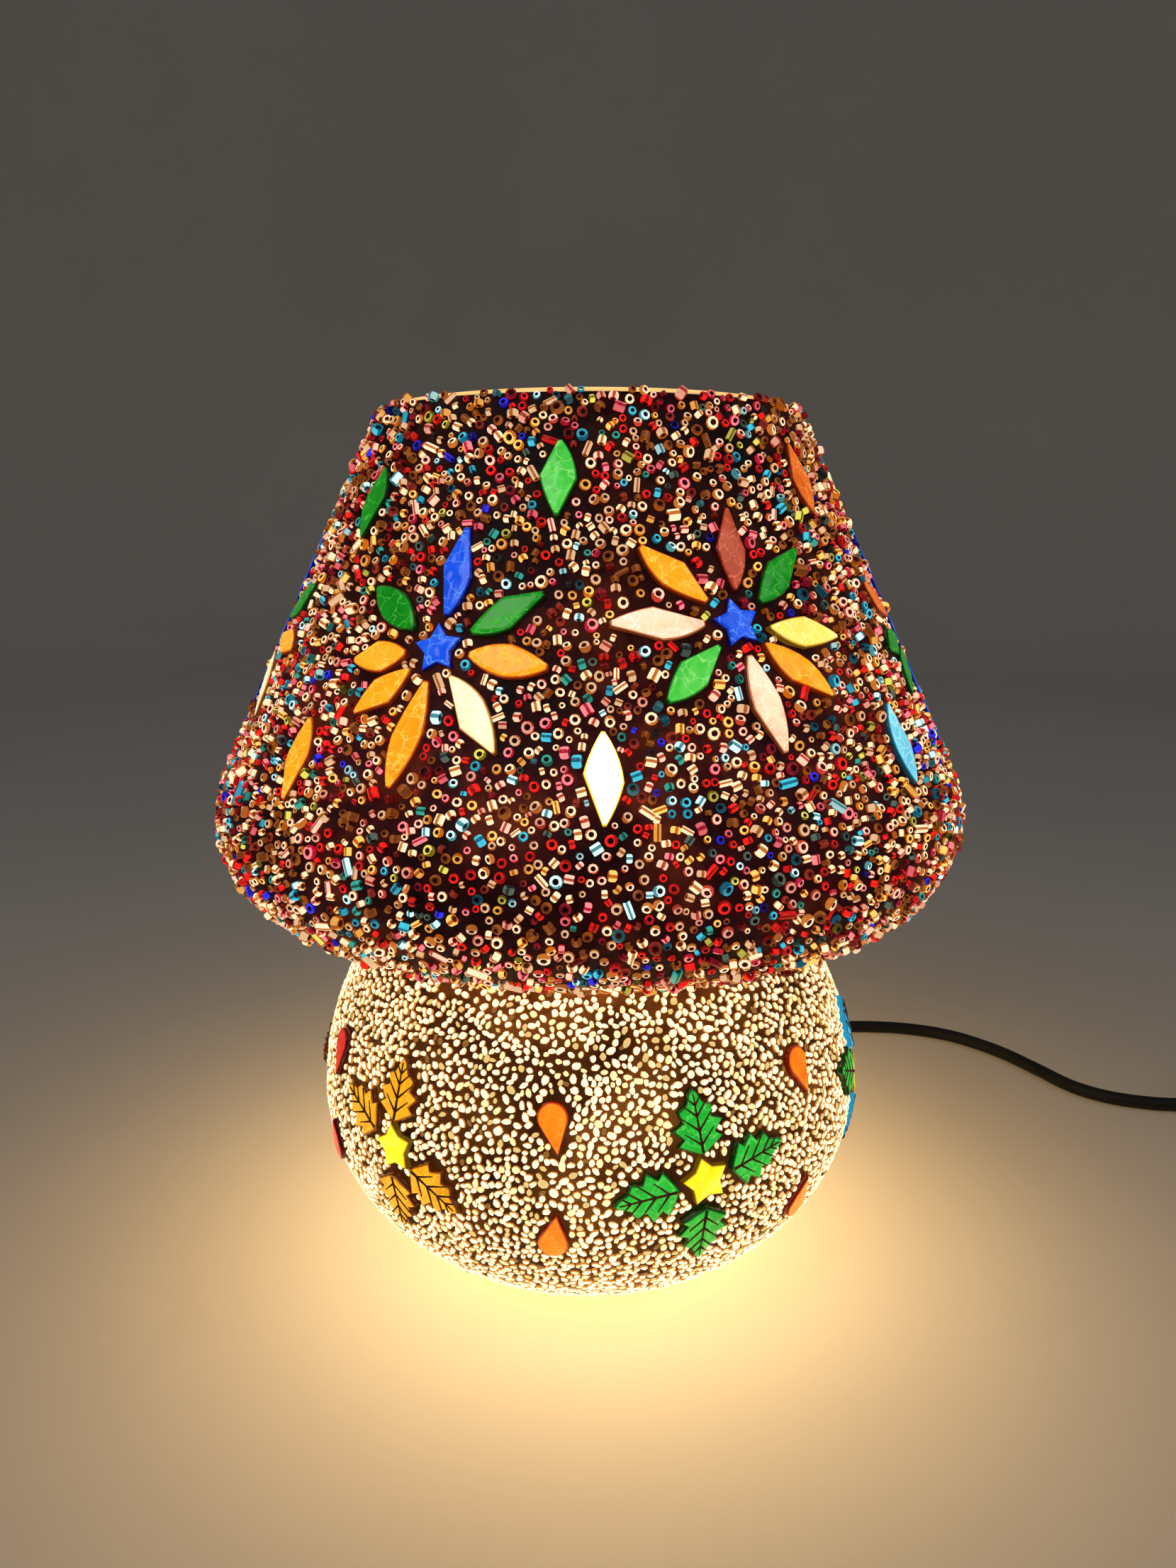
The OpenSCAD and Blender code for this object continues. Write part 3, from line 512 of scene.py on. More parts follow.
tiles = []
for i, (turn, z) in enumerate(SHADE_FLOWERS):
    for (angle, tip), tint in zip(PETALS[i % 2], FLOWER_TINTS[TINTS_IN_TURN[i % 4]]):
        place = on_shade(*beside(turn, z, (PETAL_IN + tip) / 2, angle, lambda _: SLOPE, side_r))
        outline = rhomb(tip - PETAL_IN, PETAL_W)
        tiles.append(Tile("petal", f"shade_flower_{i + 1}", tint, place, outline, angle))
    tiles.append(Tile("star", "shade_flower_stars", "blue", on_shade(turn, z), star_outline(1.06, 0.56), 8))
for row, diamonds, size in (("upper", UPPER_DIAMONDS, UPPER_SIZE), ("lower", LOWER_DIAMONDS, LOWER_SIZE)):
    for turn, z, tint in diamonds:
        tiles.append(Tile("petal", f"shade_{row}_diamonds", tint, on_shade(turn, z), rhomb(*size), 90))
for i, (turn, z, tint) in enumerate(BASE_FLOWERS):
    for k, angle in enumerate(LEAF_TURNS[i % 2]):
        place = on_base(*beside(turn, z, LEAF_OUT, angle, dome_lean, dome_r))
        leaf_tint = tint if isinstance(tint, str) else tint[k]
        tiles.append(Tile("leaf", f"base_flower_{i + 1}", leaf_tint, place, leaf_outline(), angle))
    tiles.append(Tile("star", "base_flower_stars", "sun", on_base(turn, z), star_outline(1.1, 0.62), 12))
for turn, high, low, tint in BASE_DROPS:
    for z, point_to in ((high, 190), (low, -7)):
        tiles.append(Tile("drop", "base_drops", tint, on_base(turn, z), drop_outline(), point_to))

TINTS = {  # edge and shadow, body, wrinkles, strength
    "blue": ("#08229c", "#1454e8", "#6aa6ff", 1.0),
    "green": ("#06480c", "#0f8a18", "#4cc83c", 0.95),
    "mint": ("#0d7a1c", "#48cc42", "#a6f488", 1.0),
    "amber": ("#c8480a", "#fba616", "#ffd858", 1.08),
    "orange": ("#a8300a", "#ee6c14", "#ffa850", 0.95),
    "pale": ("#d88a3c", "#fff2b4", "#fffdea", 1.15),
    "cream": ("#cc6a3c", "#ffdcb4", "#fff8e8", 1.12),
    "yellow": ("#d8a024", "#ffee6e", "#fffbc0", 1.08),
    "rose": ("#6e180e", "#bc4426", "#ee8c66", 0.9),
    "cyan": ("#1a86a8", "#7ae0f4", "#dafaff", 1.0),
    # hot: a painted highlight of the bulb seen through the glass
    "hot": ("#ffb81c", "#fffbe0", "#ffffff", 5.0),
    "gold": ("#a04a04", "#f4a60e", "#ffd040", 1.08),
    "leaf": ("#0a5a14", "#1cb432", "#62e05c", 1.05),
    "teal": ("#0a5a86", "#22b0dc", "#7ce0f8", 1.1),
    "sun": ("#d8a804", "#fff01a", "#fffa8a", 1.15),
    "drop": ("#d02c04", "#ff8610", "#ffb440", 1.05),
    "red": ("#8a1008", "#e82410", "#ff6a48", 1.0),
}
TILE_MATERIALS = {}
for key, (deep, main, light, strength) in TINTS.items():
    smooth_kind = key in ("sun", "red", "hot", "drop")
    deep, main, light = srgb(deep), srgb(main), srgb(light)
    shadow = [(x + 2 * y) / 3 for x, y in zip(deep, main)]
    # Painted light on the tiles: the sides take a painted dark shade (a painted glow on teal tiles), and the
    # row round the top's edge a painted glow.
    side_glow = (main, strength * 0.6) if key == "teal" else (deep, strength * 0.1)
    TILE_MATERIALS[key] = [
        tile_glass(f"tile_{key}", shadow, main, light, strength, smooth_kind),
        finish_material(f"tile_side_{key}", [c * 0.08 for c in deep], [c * 0.2 for c in deep], 400,
                        (0.1, 0.25), glow=side_glow),
        finish_material(f"tile_rim_{key}", [c * 0.4 for c in deep], [c * 0.6 for c in main], 500,
                        (0.1, 0.2), glow=(deep, strength * 0.85))]
VEIN = finish_material("leaf_vein", [0.012, 0.004, 0.001], [0.04, 0.012, 0.003], 500, (0.5, 0.7),
                       glow=("#3a1204", 0.5))


def densify(outline, step):
    """Points along a closed outline, no further apart than step, with every corner kept."""
    pts = np.asarray(outline, float)
    out = []
    for a, b in zip(pts, np.roll(pts, -1, axis=0)):
        n = max(1, int(math.ceil(np.linalg.norm(b - a) / step)))
        out += [a + (b - a) * i / n for i in range(n)]
    return np.array(out)


def shrink(outline, inset, kind):
    """The outline moved in by about inset, towards the middle or a leaf's midrib."""
    if kind == "leaf":
        reach = np.array([LEAF_L / 2, LEAF_W / 2])
    else:
        reach = np.abs(outline).max(axis=0)
    k = 1 - inset / reach
    return outline * np.clip(k, 0.02, 1)


TILE_UNDER = -0.6  # how far a tile goes down into the resin
RIM_ROW = 3  # the row of faces round the top's rounded edge; those before it are the sides
BOX_FACES = np.array([[3, 2, 1, 0], [4, 5, 6, 7], [0, 1, 5, 4], [1, 2, 6, 5], [2, 3, 7, 6], [3, 0, 4, 7]])


def tile_blocks(tile, index):
    """A thick tile with rounded edges and an uneven face; index is the first of its three materials."""
    edge = densify(rotate2(tile.outline, -tile.turn), 0.9)
    n = len(edge)
    reach = np.abs(edge).max(axis=0).min()
    seed = Vector((tile.origin[0] * 0.13, tile.origin[1] * 0.13, tile.origin[2] * 0.13))
    # Rings from the underside to the middle of the top: how far in, how high
    rows = [(0.25, TILE_UNDER), (0.0, 0.3), (0.0, TILE_T - 0.75), (0.16, TILE_T - 0.3), (0.5, TILE_T - 0.06)]
    rows += [(reach * k, TILE_T) for k in (0.35, 0.55, 0.75, 0.9)]
    pts = []
    for j, (inset, z) in enumerate(rows):
        ring = shrink(edge, inset, tile.kind) if inset < reach * 0.3 else edge * (1 - inset / reach)
        lift = np.full(n, z)
        if j > RIM_ROW:
            lift += [0.16 * noise.noise(Vector((x * 0.45, y * 0.45, 0)) + seed) - 0.03 for x, y in ring]
        pts.append(np.column_stack([rotate2(ring, tile.turn), lift]))
    local = np.concatenate(pts + [np.array([[0, 0, TILE_T], [0, 0, TILE_UNDER]])])
    world = tile.origin + local @ tile.axes.T
    quads = ring_faces(len(rows), n)
    row = np.arange(len(quads)) // n
    side = (row < RIM_ROW) | (row == len(rows) - 1)
    # the sides take the painted shade, the row round the top's edge the painted glow
    tint = np.where(side, index + 1, np.where(row == RIM_ROW, index + 2, index))
    top = len(rows) * n
    c = np.arange(n)
    fan = np.stack([top - n + c, top - n + (c + 1) % n, np.full(n, top)], axis=-1)
    low = np.stack([(c + 1) % n, c, np.full(n, top + 1)], axis=-1)
    return [(world, quads, tint), (world, fan, index), (world, low, index + 1)]


def vein_blocks(tile, index):
    """A leaf's dark veins: a midrib and four pairs of side veins, each a thin closed bar."""
    bars = [((-7.4, 0), (7.7, 0), 0.4)]
    for x, reach, tilt in ((-5.3, 4.9, 41), (-1.7, 5.6, 39), (2.0, 4.5, 37), (4.8, 2.4, 35)):
        for s in (-1, 1):
            a = math.radians(tilt)
            bars.append(((x, 0), (x + reach * math.cos(a), s * reach * math.sin(a) * 1.25), 0.3))
    out = []
    for p, q, w in bars:
        p, q = np.array(p), np.array(q)
        d = (q - p) / np.linalg.norm(q - p)
        s = np.array([-d[1], d[0]]) * w
        corners = rotate2([p - s, q - s * 0.4, q + s * 0.4, p + s], tile.turn)
        local = np.concatenate([np.column_stack([corners, np.full(4, TILE_T + z)]) for z in (-0.4, 0.13)])
        out.append((tile.origin + local @ tile.axes.T, BOX_FACES, index))
    return out


def join_parts(parts):
    """Parts with the same points in a row are written once."""
    blocks, last = [], None
    for world, faces, tint in parts:
        if last is not None and world is last[0]:
            blocks.append((np.zeros((0, 3)), np.asarray(faces) - len(world), tint))
        else:
            blocks.append((world, faces, tint))
        last = (world,)
    return blocks


GROUPS = {}
for tile in tiles:
    GROUPS.setdefault(tile.group, []).append(tile)
SLOTS = {"shade_flower_stars": "blue_glass", "base_flower_stars": "yellow_glass",
         "base_drops": "orange_glass"}
for group, members in GROUPS.items():
    used = sorted({t.tint for t in members})
    materials = [m for key in used for m in TILE_MATERIALS[key]]
    parts = []
    for t in members:
        parts += tile_blocks(t, used.index(t.tint) * 3)
        if t.kind == "leaf":
            parts += vein_blocks(t, len(materials))
    if members[0].kind == "leaf":
        materials.append(VEIN)
    slot = SLOTS.get(group, "leaf_glass" if members[0].kind == "leaf" else "tile_glass")
    make_piece(f"{group}_glass", join_parts(parts), materials, replaces=[group])

# ---- the blown glass
NECK_C_Z = UNDER_Z - FILLET
neck_sin = (NECK_C_Z - BASE_Z) / (DOME_UP + FILLET)
neck_cos = math.sqrt(1 - neck_sin ** 2)
NECK_C = ((BASE_R + FILLET) * neck_cos, NECK_C_Z)
neck_lean = math.degrees(math.atan((neck_sin / (DOME_UP + FILLET)) / (neck_cos / (BASE_R + FILLET))))
NECK_LOW_Z = NECK_C_Z - FILLET * math.sin(math.radians(neck_lean))
RIM_LIP = WALL / 2
rim_z = LAMP_H - RIM_LIP


def glass_profile():
    slope = math.degrees(SLOPE)
    rim = arc((side_r(rim_z) - RIM_LIP, rim_z), RIM_LIP, 180, 0, 8)
    side = [(side_r(z), z) for z in np.linspace(rim_z - 3, 153, 22)]
    outer = rim + side + arc(SHOULDER_C, SHOULDER_R, slope, -90, 28)
    outer += [(r, UNDER_Z) for r in (74, 70, 66)] + arc(NECK_C, FILLET, 90, 180 + neck_lean, 10)
    outer += dome_curve(NECK_LOW_Z, BASE_Z, 0, 22)[1:] + dome_curve(BASE_Z, FOOT_Z, 0, 26)[1:]
    outer += [(KICK_FOOT_R, FOOT_Z), (27, 5.4), (24, 9.4), (KICK_R, KICK_Z), (STEM_HOLE_R, KICK_Z)]
    inner = [(STEM_HOLE_R, KICK_Z + WALL), (KICK_R + 1, KICK_Z + WALL), (27, 9.6),
             (KICK_FOOT_R + 1.5, FOOT_Z + WALL)]
    inner += dome_curve(FOOT_Z + WALL, BASE_Z, -WALL, 20) + dome_curve(BASE_Z, NECK_LOW_Z, -WALL, 18)[1:]
    inner += arc(NECK_C, FILLET + WALL, 180 + neck_lean, 90, 8)[1:]
    inner += arc(SHOULDER_C, SHOULDER_R - WALL, -90, slope, 24)
    inner += [(side_r(z) - WALL / math.cos(SLOPE), z) for z in np.linspace(158, rim_z - 4, 18)]
    return outer, inner


glass_outer, glass_inner = glass_profile()


def breathe(pts):
    """Mouth-blown glass is a little uneven, most at the rim, least at the foot."""
    flat = pts.reshape(-1, 3)
    amount = np.clip((flat[:, 2] - 30) / 220, 0, 1) * 0.45
    push = np.array([noise_at(x * 0.016, y * 0.016, z * 0.012) for x, y, z in flat])
    r = np.hypot(flat[:, 0], flat[:, 1])
    scale = 1 + amount * push / np.maximum(r, 1)
    flat = flat.copy()
    flat[:, 0] *= scale
    flat[:, 1] *= scale
    return flat.reshape(pts.shape)


def amber_glass(name, speckle):
    """Warm glass with a painted glow, brightest at the foot and the rim and dimmest round the waist. Inside,
    the beads and chips show through it as soft spots of painted glow.
    """
    m, t, p = new_material(name, Emission_Strength=0.55 if speckle else 0.5, Roughness=0.06, IOR=1.5)
    point = object_point(t)
    # painted glow by height: bright at the foot, dim round the waist, bright again at the rim
    colour = ramp(t, height_share(t, point), [
        (0.02, "#ffe2a0"), (0.3, "#e8a850"), (0.43, "#a86a2c"), (0.5, "#b87434"), (0.62, "#e8a04a"),
        (0.9, "#d88a3c"), (0.98, "#ffd08a")])
    if speckle:
        cells = node(t, "ShaderNodeTexVoronoi", Scale=330.0)
        t.links.new(point, cells.inputs["Vector"])
        spots = ramp(t, cells.outputs["Distance"], [(0.25, 1), (0.55, 0)])
        tints = ramp(t, parts_of(t, cells.outputs["Color"])[0], [
            (0.0, "#ffdca0"), (0.5, "#ffc070"), (0.6, "#d04828"), (0.76, "#5aa8a0"), (0.86, "#ffe8c8"),
            (0.97, "#e08020")])
        dark = mixed(t, 1.0, colour, (0.42, 0.3, 0.22, 1), "MULTIPLY")
        colour = mixed(t, spots, dark, tints)
    t.links.new(colour, p.inputs["Base Color"])
    t.links.new(colour, p.inputs["Emission Color"])
    bump(t, noise_fac(t, point, 60.0, 2.0), 0.12, 0.001, p)
    return m


COLS = 256  # points round the glass and the beds
GLASS_OUT, GLASS_IN = amber_glass("blown_amber_glass", False), amber_glass("blown_amber_glass_inside", True)
# The rim's lip gets a painted glow, as if lit through the glass by the bulb.
RIM_GLOW = finish_material("rim_lip_painted_glow", "#e8a050", "#ffd898", 160, (0.12, 0.3), glow=("#ffc878", 0.95))
glass_points, glass_faces = revolve(glass_outer + glass_inner, COLS, breathe)
row = np.arange(len(glass_faces)) // COLS
# rows 2 to 6 are the top of the rim's lip, which takes the painted glow
glass_tint = np.where((row > 1) & (row < 7), 2, np.where(row < len(glass_outer), 0, 1))
make_piece("glass_envelope", [(glass_points, glass_faces[:, ::-1], glass_tint)],
           [GLASS_OUT, GLASS_IN, RIM_GLOW],
           replaces=["glass_shade_side", "glass_shoulder_upper", "glass_shoulder_lower",
                     "glass_shade_floor", "glass_base_upper", "glass_base_lower"])

# ---- beds
BEAD_TOP_Z, BEAD_IN_R = LAMP_H - 1.3, 66
CHIP_TOP_Z, CHIP_LOW_Z = 101, 5


def shade_line(d, n_side, n_arc, n_under):
    """The shade's outside, d above the glass, from the top edge to the underside's inner edge."""
    slope = math.degrees(SLOPE)
    side_low = SHOULDER_C[1] + SHOULDER_R * math.sin(SLOPE)
    side = [(side_r(z, d), z) for z in np.linspace(BEAD_TOP_Z, side_low, n_side)]
    under = [(r, UNDER_Z - d) for r in np.linspace(SHOULDER_C[0], BEAD_IN_R, n_under)]
    return side[:-1] + arc(SHOULDER_C, SHOULDER_R + d, slope, -90, n_arc) + under[1:]


def base_line(d, n):
    return dome_curve(CHIP_TOP_Z, BASE_Z, d, n)[:-1] + dome_curve(BASE_Z, CHIP_LOW_Z, d, n)


def lumpy(amount, scale, edge):
    """Resin laid by hand: uneven in thickness, with a ragged edge where the profile ends."""
    def wobble(pts):
        rows, cols = pts.shape[:2]
        half = rows // 2
        out = pts.copy()
        for i in range(half):
            back = pts[rows - 1 - i]
            for j in range(cols):
                x, y, z = pts[i, j]
                k = 1 + amount * noise_at(x * scale, y * scale, z * scale)
                out[i, j] = back[j] + (pts[i, j] - back[j]) * k
        for i, rows_in in ((half - 1, half - 4), (half, half + 3)):
            for j in range(cols):
                x, y, z = pts[i, j]
                k = edge * (0.5 + 0.5 * noise_at(x * 0.12, y * 0.12, 3.0))
                out[i, j] = out[i, j] * (1 - k) + out[rows_in, j] * k
        return out
    return wobble


# Painted glow of the bulb: the shade's bed brightest at the bulb's height, the base's towards the foot
BEAD_BED = bed("bead_bed", "#0a0102", "#240506", "#4e1c0a",
               [(112, 0.5), (140, 0.9), (163, 1.5), (190, 0.7), (245, 0.2)])
CHIP_BED = bed("chip_bed", "#261005", "#4c280c", "#84511e", [(5, 1.0), (45, 0.8), (80, 0.75), (101, 0.6)])
shade_ring = shade_line(1.3, 40, 26, 8) + shade_line(-0.2, 40, 26, 8)[::-1]
base_ring = base_line(0.8, 26) + base_line(-0.2, 26)[::-1]
for name, ring, wobble, material, slot, layer in (
        ("shade_bed", shade_ring, lumpy(0.35, 0.3, 0.55), BEAD_BED, "bead_glass", "shade_bead_layer"),
        ("base_bed", base_ring, lumpy(0.3, 0.35, 0.4), CHIP_BED, "chip_glass", "base_chip_layer")):
    points, faces = revolve(ring, COLS, wobble)
    make_piece(name, [(points, faces[:, ::-1], 0)], [material], replaces=[layer])


# ---- scattering on the walls
class Surface:
    """A surface of revolution by distance along its line: radius, height and lean of the normal."""

    def __init__(self, line):
        p = np.array(line, float)
        d = np.diff(p, axis=0)
        self.at = np.concatenate([[0], np.cumsum(np.hypot(d[:, 0], d[:, 1]))])
        self.p = p
        tangent = d / np.hypot(d[:, 0], d[:, 1])[:, None]
        normal = np.column_stack([-tangent[:, 1], tangent[:, 0]])
        self.lean = np.arctan2(normal[:, 1], normal[:, 0])
        self.mid = (self.at[1:] + self.at[:-1]) / 2
        w = (p[1:, 0] + p[:-1, 0]) / 2 * np.diff(self.at)
        self.weight = np.concatenate([[0], np.cumsum(w)]) / w.sum()

    def sample(self, n):
        s = np.interp(NPR.random(n), self.weight, self.at)
        turn = NPR.random(n) * 2 * math.pi
        r, z = np.interp(s, self.at, self.p[:, 0]), np.interp(s, self.at, self.p[:, 1])
        lean = np.interp(s, self.mid, self.lean)
        origin = np.column_stack([np.sin(turn) * r, -np.cos(turn) * r, z])
        c, q, cl, sl = np.cos(turn), np.sin(turn), np.cos(lean), np.sin(lean)
        zero = np.zeros(n)
        axes = np.stack([np.stack([c, -q * sl, q * cl], -1), np.stack([q, c * sl, -c * cl], -1),
                         np.stack([zero, cl, sl], -1)], axis=1)
        return origin, axes


def outline_gap(points, outline):
    """Signed distance from each 2-D point to a closed outline, below zero inside."""
    a, b = outline, np.roll(outline, -1, axis=0)
    ab = b - a
    ap = points[:, None, :] - a[None]
    t = np.clip((ap * ab).sum(-1) / (ab * ab).sum(-1), 0, 1)
    gap = np.linalg.norm(ap - t[..., None] * ab, axis=-1).min(axis=1)
    x, y = points[:, None, 0], points[:, None, 1]
    rise = b[:, 1] - a[:, 1]
    at_y = (b[:, 0] - a[:, 0]) * (y - a[:, 1]) / np.where(b[:, 1] == a[:, 1], 1e-9, rise) + a[:, 0]
    crosses = ((a[:, 1] > y) != (b[:, 1] > y)) & (x < at_y)
    return np.where(crosses.sum(axis=1) % 2 == 1, -gap, gap)


TILE_REACH, GROMMET_R, WALL_NEAR = 22, 7.3, (12, 8)  # how near the wall's plane a tile or the grommet counts


def clear_of_tiles(origins, radii, margin):
    keep = np.ones(len(origins), bool)
    for tile in tiles:
        rel = origins - tile.origin
        near = np.where((np.abs(rel).max(axis=1) < TILE_REACH) & keep)[0]
        if not len(near):
            continue
        local = rel[near] @ tile.axes
        gap = outline_gap(local[:, :2], tile.outline)
        bad = (gap < radii[near] + margin) & (np.abs(local[:, 2]) < WALL_NEAR[0])
        keep[near[bad]] = False
    rel = (origins - EXIT_AT) @ EXIT_AXES
    keep &= ~((np.hypot(rel[:, 0], rel[:, 1]) < GROMMET_R + radii) & (np.abs(rel[:, 2]) < WALL_NEAR[1]))
    return keep


CELL = 4.0
NEIGHBOURS = [(x, y, z) for x in (-1, 0, 1) for y in (-1, 0, 1) for z in (-1, 0, 1)]


def throw(surface, count, radius_of, margin, tries, squeeze):
    """Dart throwing: the pieces kept never lie closer than squeeze times their two radii."""
    origins, axes = surface.sample(tries)
    radii = radius_of(tries)
    grid, kept = {}, []
    keys = np.floor(origins / CELL).astype(int)
    for i in np.where(clear_of_tiles(origins, radii, margin))[0]:
        kx, ky, kz = keys[i].tolist()
        x, y, z = origins[i]
        r = radii[i]
        around = [dart for dx, dy, dz in NEIGHBOURS for dart in grid.get((kx + dx, ky + dy, kz + dz), ())]
        for px, py, pz, pr in around:
            reach = (r + pr) * squeeze
            if (px - x) ** 2 + (py - y) ** 2 + (pz - z) ** 2 < reach * reach:
                break
        else:
            grid.setdefault((kx, ky, kz), []).append((x, y, z, r))
            kept.append(i)
            if len(kept) >= count:
                break
    return origins[kept], axes[kept], radii[kept]


# ---- beads
SEGMENTS = 10
# A bead's section, from the hole's middle round the outside and back: radius, height
SEED_SECTION = [(0.40, 0.0), (0.50, 0.72), (0.74, 0.86), (0.95, 0.62), (1.0, 0.0), (0.95, -0.62),
                (0.74, -0.86), (0.50, -0.72)]
TUBE_SECTION = [(0.42, 0.0), (0.46, 0.98), (0.78, 1.0), (0.99, 0.9), (1.0, 0.0), (0.99, -0.9),
                (0.78, -1.0), (0.46, -0.98)]
# Painted light on each bead: HOT faces painted lit, MID the rest of its wall, DARK painted shade in its hole.
HOT, MID, DARK = 0, 1, 2


def bead_template(section, facing):
    pts = turned(section, (np.arange(SEGMENTS) + 0.5) / SEGMENTS * 2 * math.pi).reshape(-1, 3)
    faces = ring_faces(len(section), SEGMENTS, True)
    strip, turn = np.divmod(np.arange(len(faces)), SEGMENTS)
    if facing:
        lit = (strip == 1) | ((strip == 2) & (turn < SEGMENTS - 3))
    else:
        away = np.minimum(SEGMENTS - 1 - turn, turn + 1)
        lit = (away > 0) & (away <= 2) & (strip != 6) & (strip != 1)
    in_hole = (strip == 0) | (strip == 7)
    return pts, faces, np.where(in_hole, DARK, np.where(lit, HOT, MID))


def unit(v):
    return v / np.linalg.norm(v, axis=-1, keepdims=True)


FAMILIES = {  # share, colours of its painted light: the lit face, the wall and the shaded hole
    "cream": (0.42, ["#ffe6ba", "#d2742a", "#561803"]),
    "blush": (0.12, ["#ffcaac", "#cc422c", "#60100c"]),
    "pink": (0.07, ["#ff8488", "#c01832", "#4c0410"]),
    "red": (0.13, ["#e81c14", "#a00c0c", "#340303"]),
    "amber": (0.10, ["#ffcc66", "#d46a10", "#541c04"]),
    "teal": (0.045, ["#3cbcd4", "#0c6c86", "#02222e"]),
    "sea": (0.02, ["#2e9a88", "#125c52", "#04221e"]),
    "ice": (0.04, ["#d6f6f2", "#4c9aa2", "#103436"]),
    "blue": (0.012, ["#2c2ee0", "#14149c", "#040430"]),
    "olive": (0.02, ["#e0d45a", "#7c6c14", "#2c2408"]),
    "dull": (0.02, ["#4c5c50", "#24302c", "#080c0a"]),
}
# How strongly a bead glows, and which of its family's three colours each part takes, where 0.5 is halfway
LEVELS = {"bright": (1.0, (0, 1, 2)), "soft": (0.82, (0.45, 1.2, 2)), "dim": (0.5, (1.7, 1, 2))}
# painted light: the lit face brightest, the hole a painted shade
PART_GLOW = {"lit": 1.12, "body": 0.85, "hole": 0.6}
BEADS, BEAD_TRIES, BEADS_PER_PIECE = 11500, 90000, 1200
# Height and spread of the painted glow of the bulb on the beads
BULB_Z, BULB_SPREAD = 165, 45
shade_surface = Surface(shade_line(0.0, 60, 40, 12))
base_surface = Surface(base_line(0.0, 40))


def bead_radius(n):
    r = NPR.normal(1.13, 0.18, n)
    big = NPR.random(n) < 0.12
    return np.clip(np.where(big, r + 0.4, r), 0.78, 1.8)


bead_at, bead_axes, bead_r = throw(shade_surface, BEADS, bead_radius, 0.1, BEAD_TRIES, 0.93)
n_beads = len(bead_at)
names = list(FAMILIES)
shares = np.array([FAMILIES[k][0] for k in names])
family = NPR.choice(len(names), n_beads, p=shares / shares.sum())
shape = NPR.choice(4, n_beads, p=[0.50, 0.36, 0.11, 0.03])  # facing seed, seed on its side, cut tube, bugle
# Painted glow of the bulb: beads nearer its height are more often bright, and noise makes patches of brighter
# and dimmer glow.
near_bulb = np.exp(-((bead_at[:, 2] - BULB_Z) / BULB_SPREAD) ** 2)
glow_patches = np.array([noise_at(x * 0.075, y * 0.075, z * 0.075) for x, y, z in bead_at])
level_pick = NPR.random(n_beads) + np.clip(glow_patches, -0.5, 0.5) * 0.55
not_bright = np.where(level_pick < 0.78 + 0.12 * near_bulb, 1, 2)
level = np.where(level_pick < 0.44 + 0.22 * near_bulb, 0, not_bright)
swing = NPR.random(n_beads) * 2 * math.pi
normal = bead_axes[:, :, 2]
in_plane = np.cos(swing)[:, None] * bead_axes[:, :, 0] + np.sin(swing)[:, None] * bead_axes[:, :, 1]
facing_tilt = np.abs(NPR.normal(0, 0.28, n_beads))
lying_tilt = math.pi / 2 - np.abs(NPR.normal(0, 0.12, n_beads))
tilt = np.clip(np.where(shape == 0, facing_tilt, lying_tilt), 0, math.pi / 2)
axis = unit(np.cos(tilt)[:, None] * normal + np.sin(tilt)[:, None] * in_plane)
across = unit(np.cross(normal, axis) + 1e-9 * in_plane)
outward = np.cross(axis, across)
outward = np.where((outward * normal).sum(-1, keepdims=True) < 0, -outward, outward)
frames = np.stack([outward, np.cross(axis, outward), axis], axis=-1)
half_len = np.select([shape == 0, shape == 1, shape == 2], [bead_r * 0.62, bead_r * 0.72, bead_r * 0.85],
                     bead_r * NPR.uniform(1.35, 1.75, n_beads))
tube_r = np.select([shape == 3, shape == 2], [bead_r * 0.72, bead_r * 0.85], bead_r * 0.98)
reach_out = np.abs(np.cos(tilt)) * half_len * 0.8 + np.abs(np.sin(tilt)) * tube_r
bead_centre = bead_at + normal * (reach_out * 0.6 + 1.0)[:, None]
scales = np.column_stack([tube_r, tube_r * NPR.uniform(0.9, 1.0, n_beads), half_len])
TUBE = bead_template(TUBE_SECTION, False)
TEMPLATES = [bead_template(SEED_SECTION, True), bead_template(SEED_SECTION, False), TUBE, TUBE]

for f, key in enumerate(names):
    colours = [srgb(h) for h in FAMILIES[key][1]]
    materials = []
    for level_name, (k, order) in LEVELS.items():
        for (part, glow), i in zip(PART_GLOW.items(), order):
            c = [x + (y - x) * (i % 1) for x, y in zip(colours[int(i)], colours[math.ceil(i)])]
            materials.append(plain_glass(f"bead_{key}_{level_name}_{part}", c, glow * k,
                                         body=[x * (0.1 + 0.12 * k) for x in c]))
    mine = np.where(family == f)[0]
    for start in range(0, len(mine), BEADS_PER_PIECE):
        chosen = mine[start:start + BEADS_PER_PIECE]
        blocks = []
        for kind_index, (pts, faces, kinds) in enumerate(TEMPLATES):
            pick = chosen[shape[chosen] == kind_index]
            if not len(pick):
                continue
            points, quads = stamp(pts, faces, bead_centre[pick], frames[pick], scales[pick])
            tint = (level[pick][:, None] * 3 + kinds[None, :]).ravel()
            blocks.append((points, quads[:, ::-1], tint))
        make_piece(f"beads_{key}_{start // BEADS_PER_PIECE + 1}", blocks, materials,
                   replaces=["shade_bead_layer"])

# ---- chips
CHIP_SIDES = 8
CHIP_ROWS = [(0.86, -0.5), (1.0, 0.1), (0.9, 0.62), (0.55, 0.94)]
CHIPS, CHIP_TRIES, CHIPS_PER_PIECE = 16000, 170000, 3200
THIN_Z, THIN_OVER = 96, 9  # the chips thin out above this height, over this distance


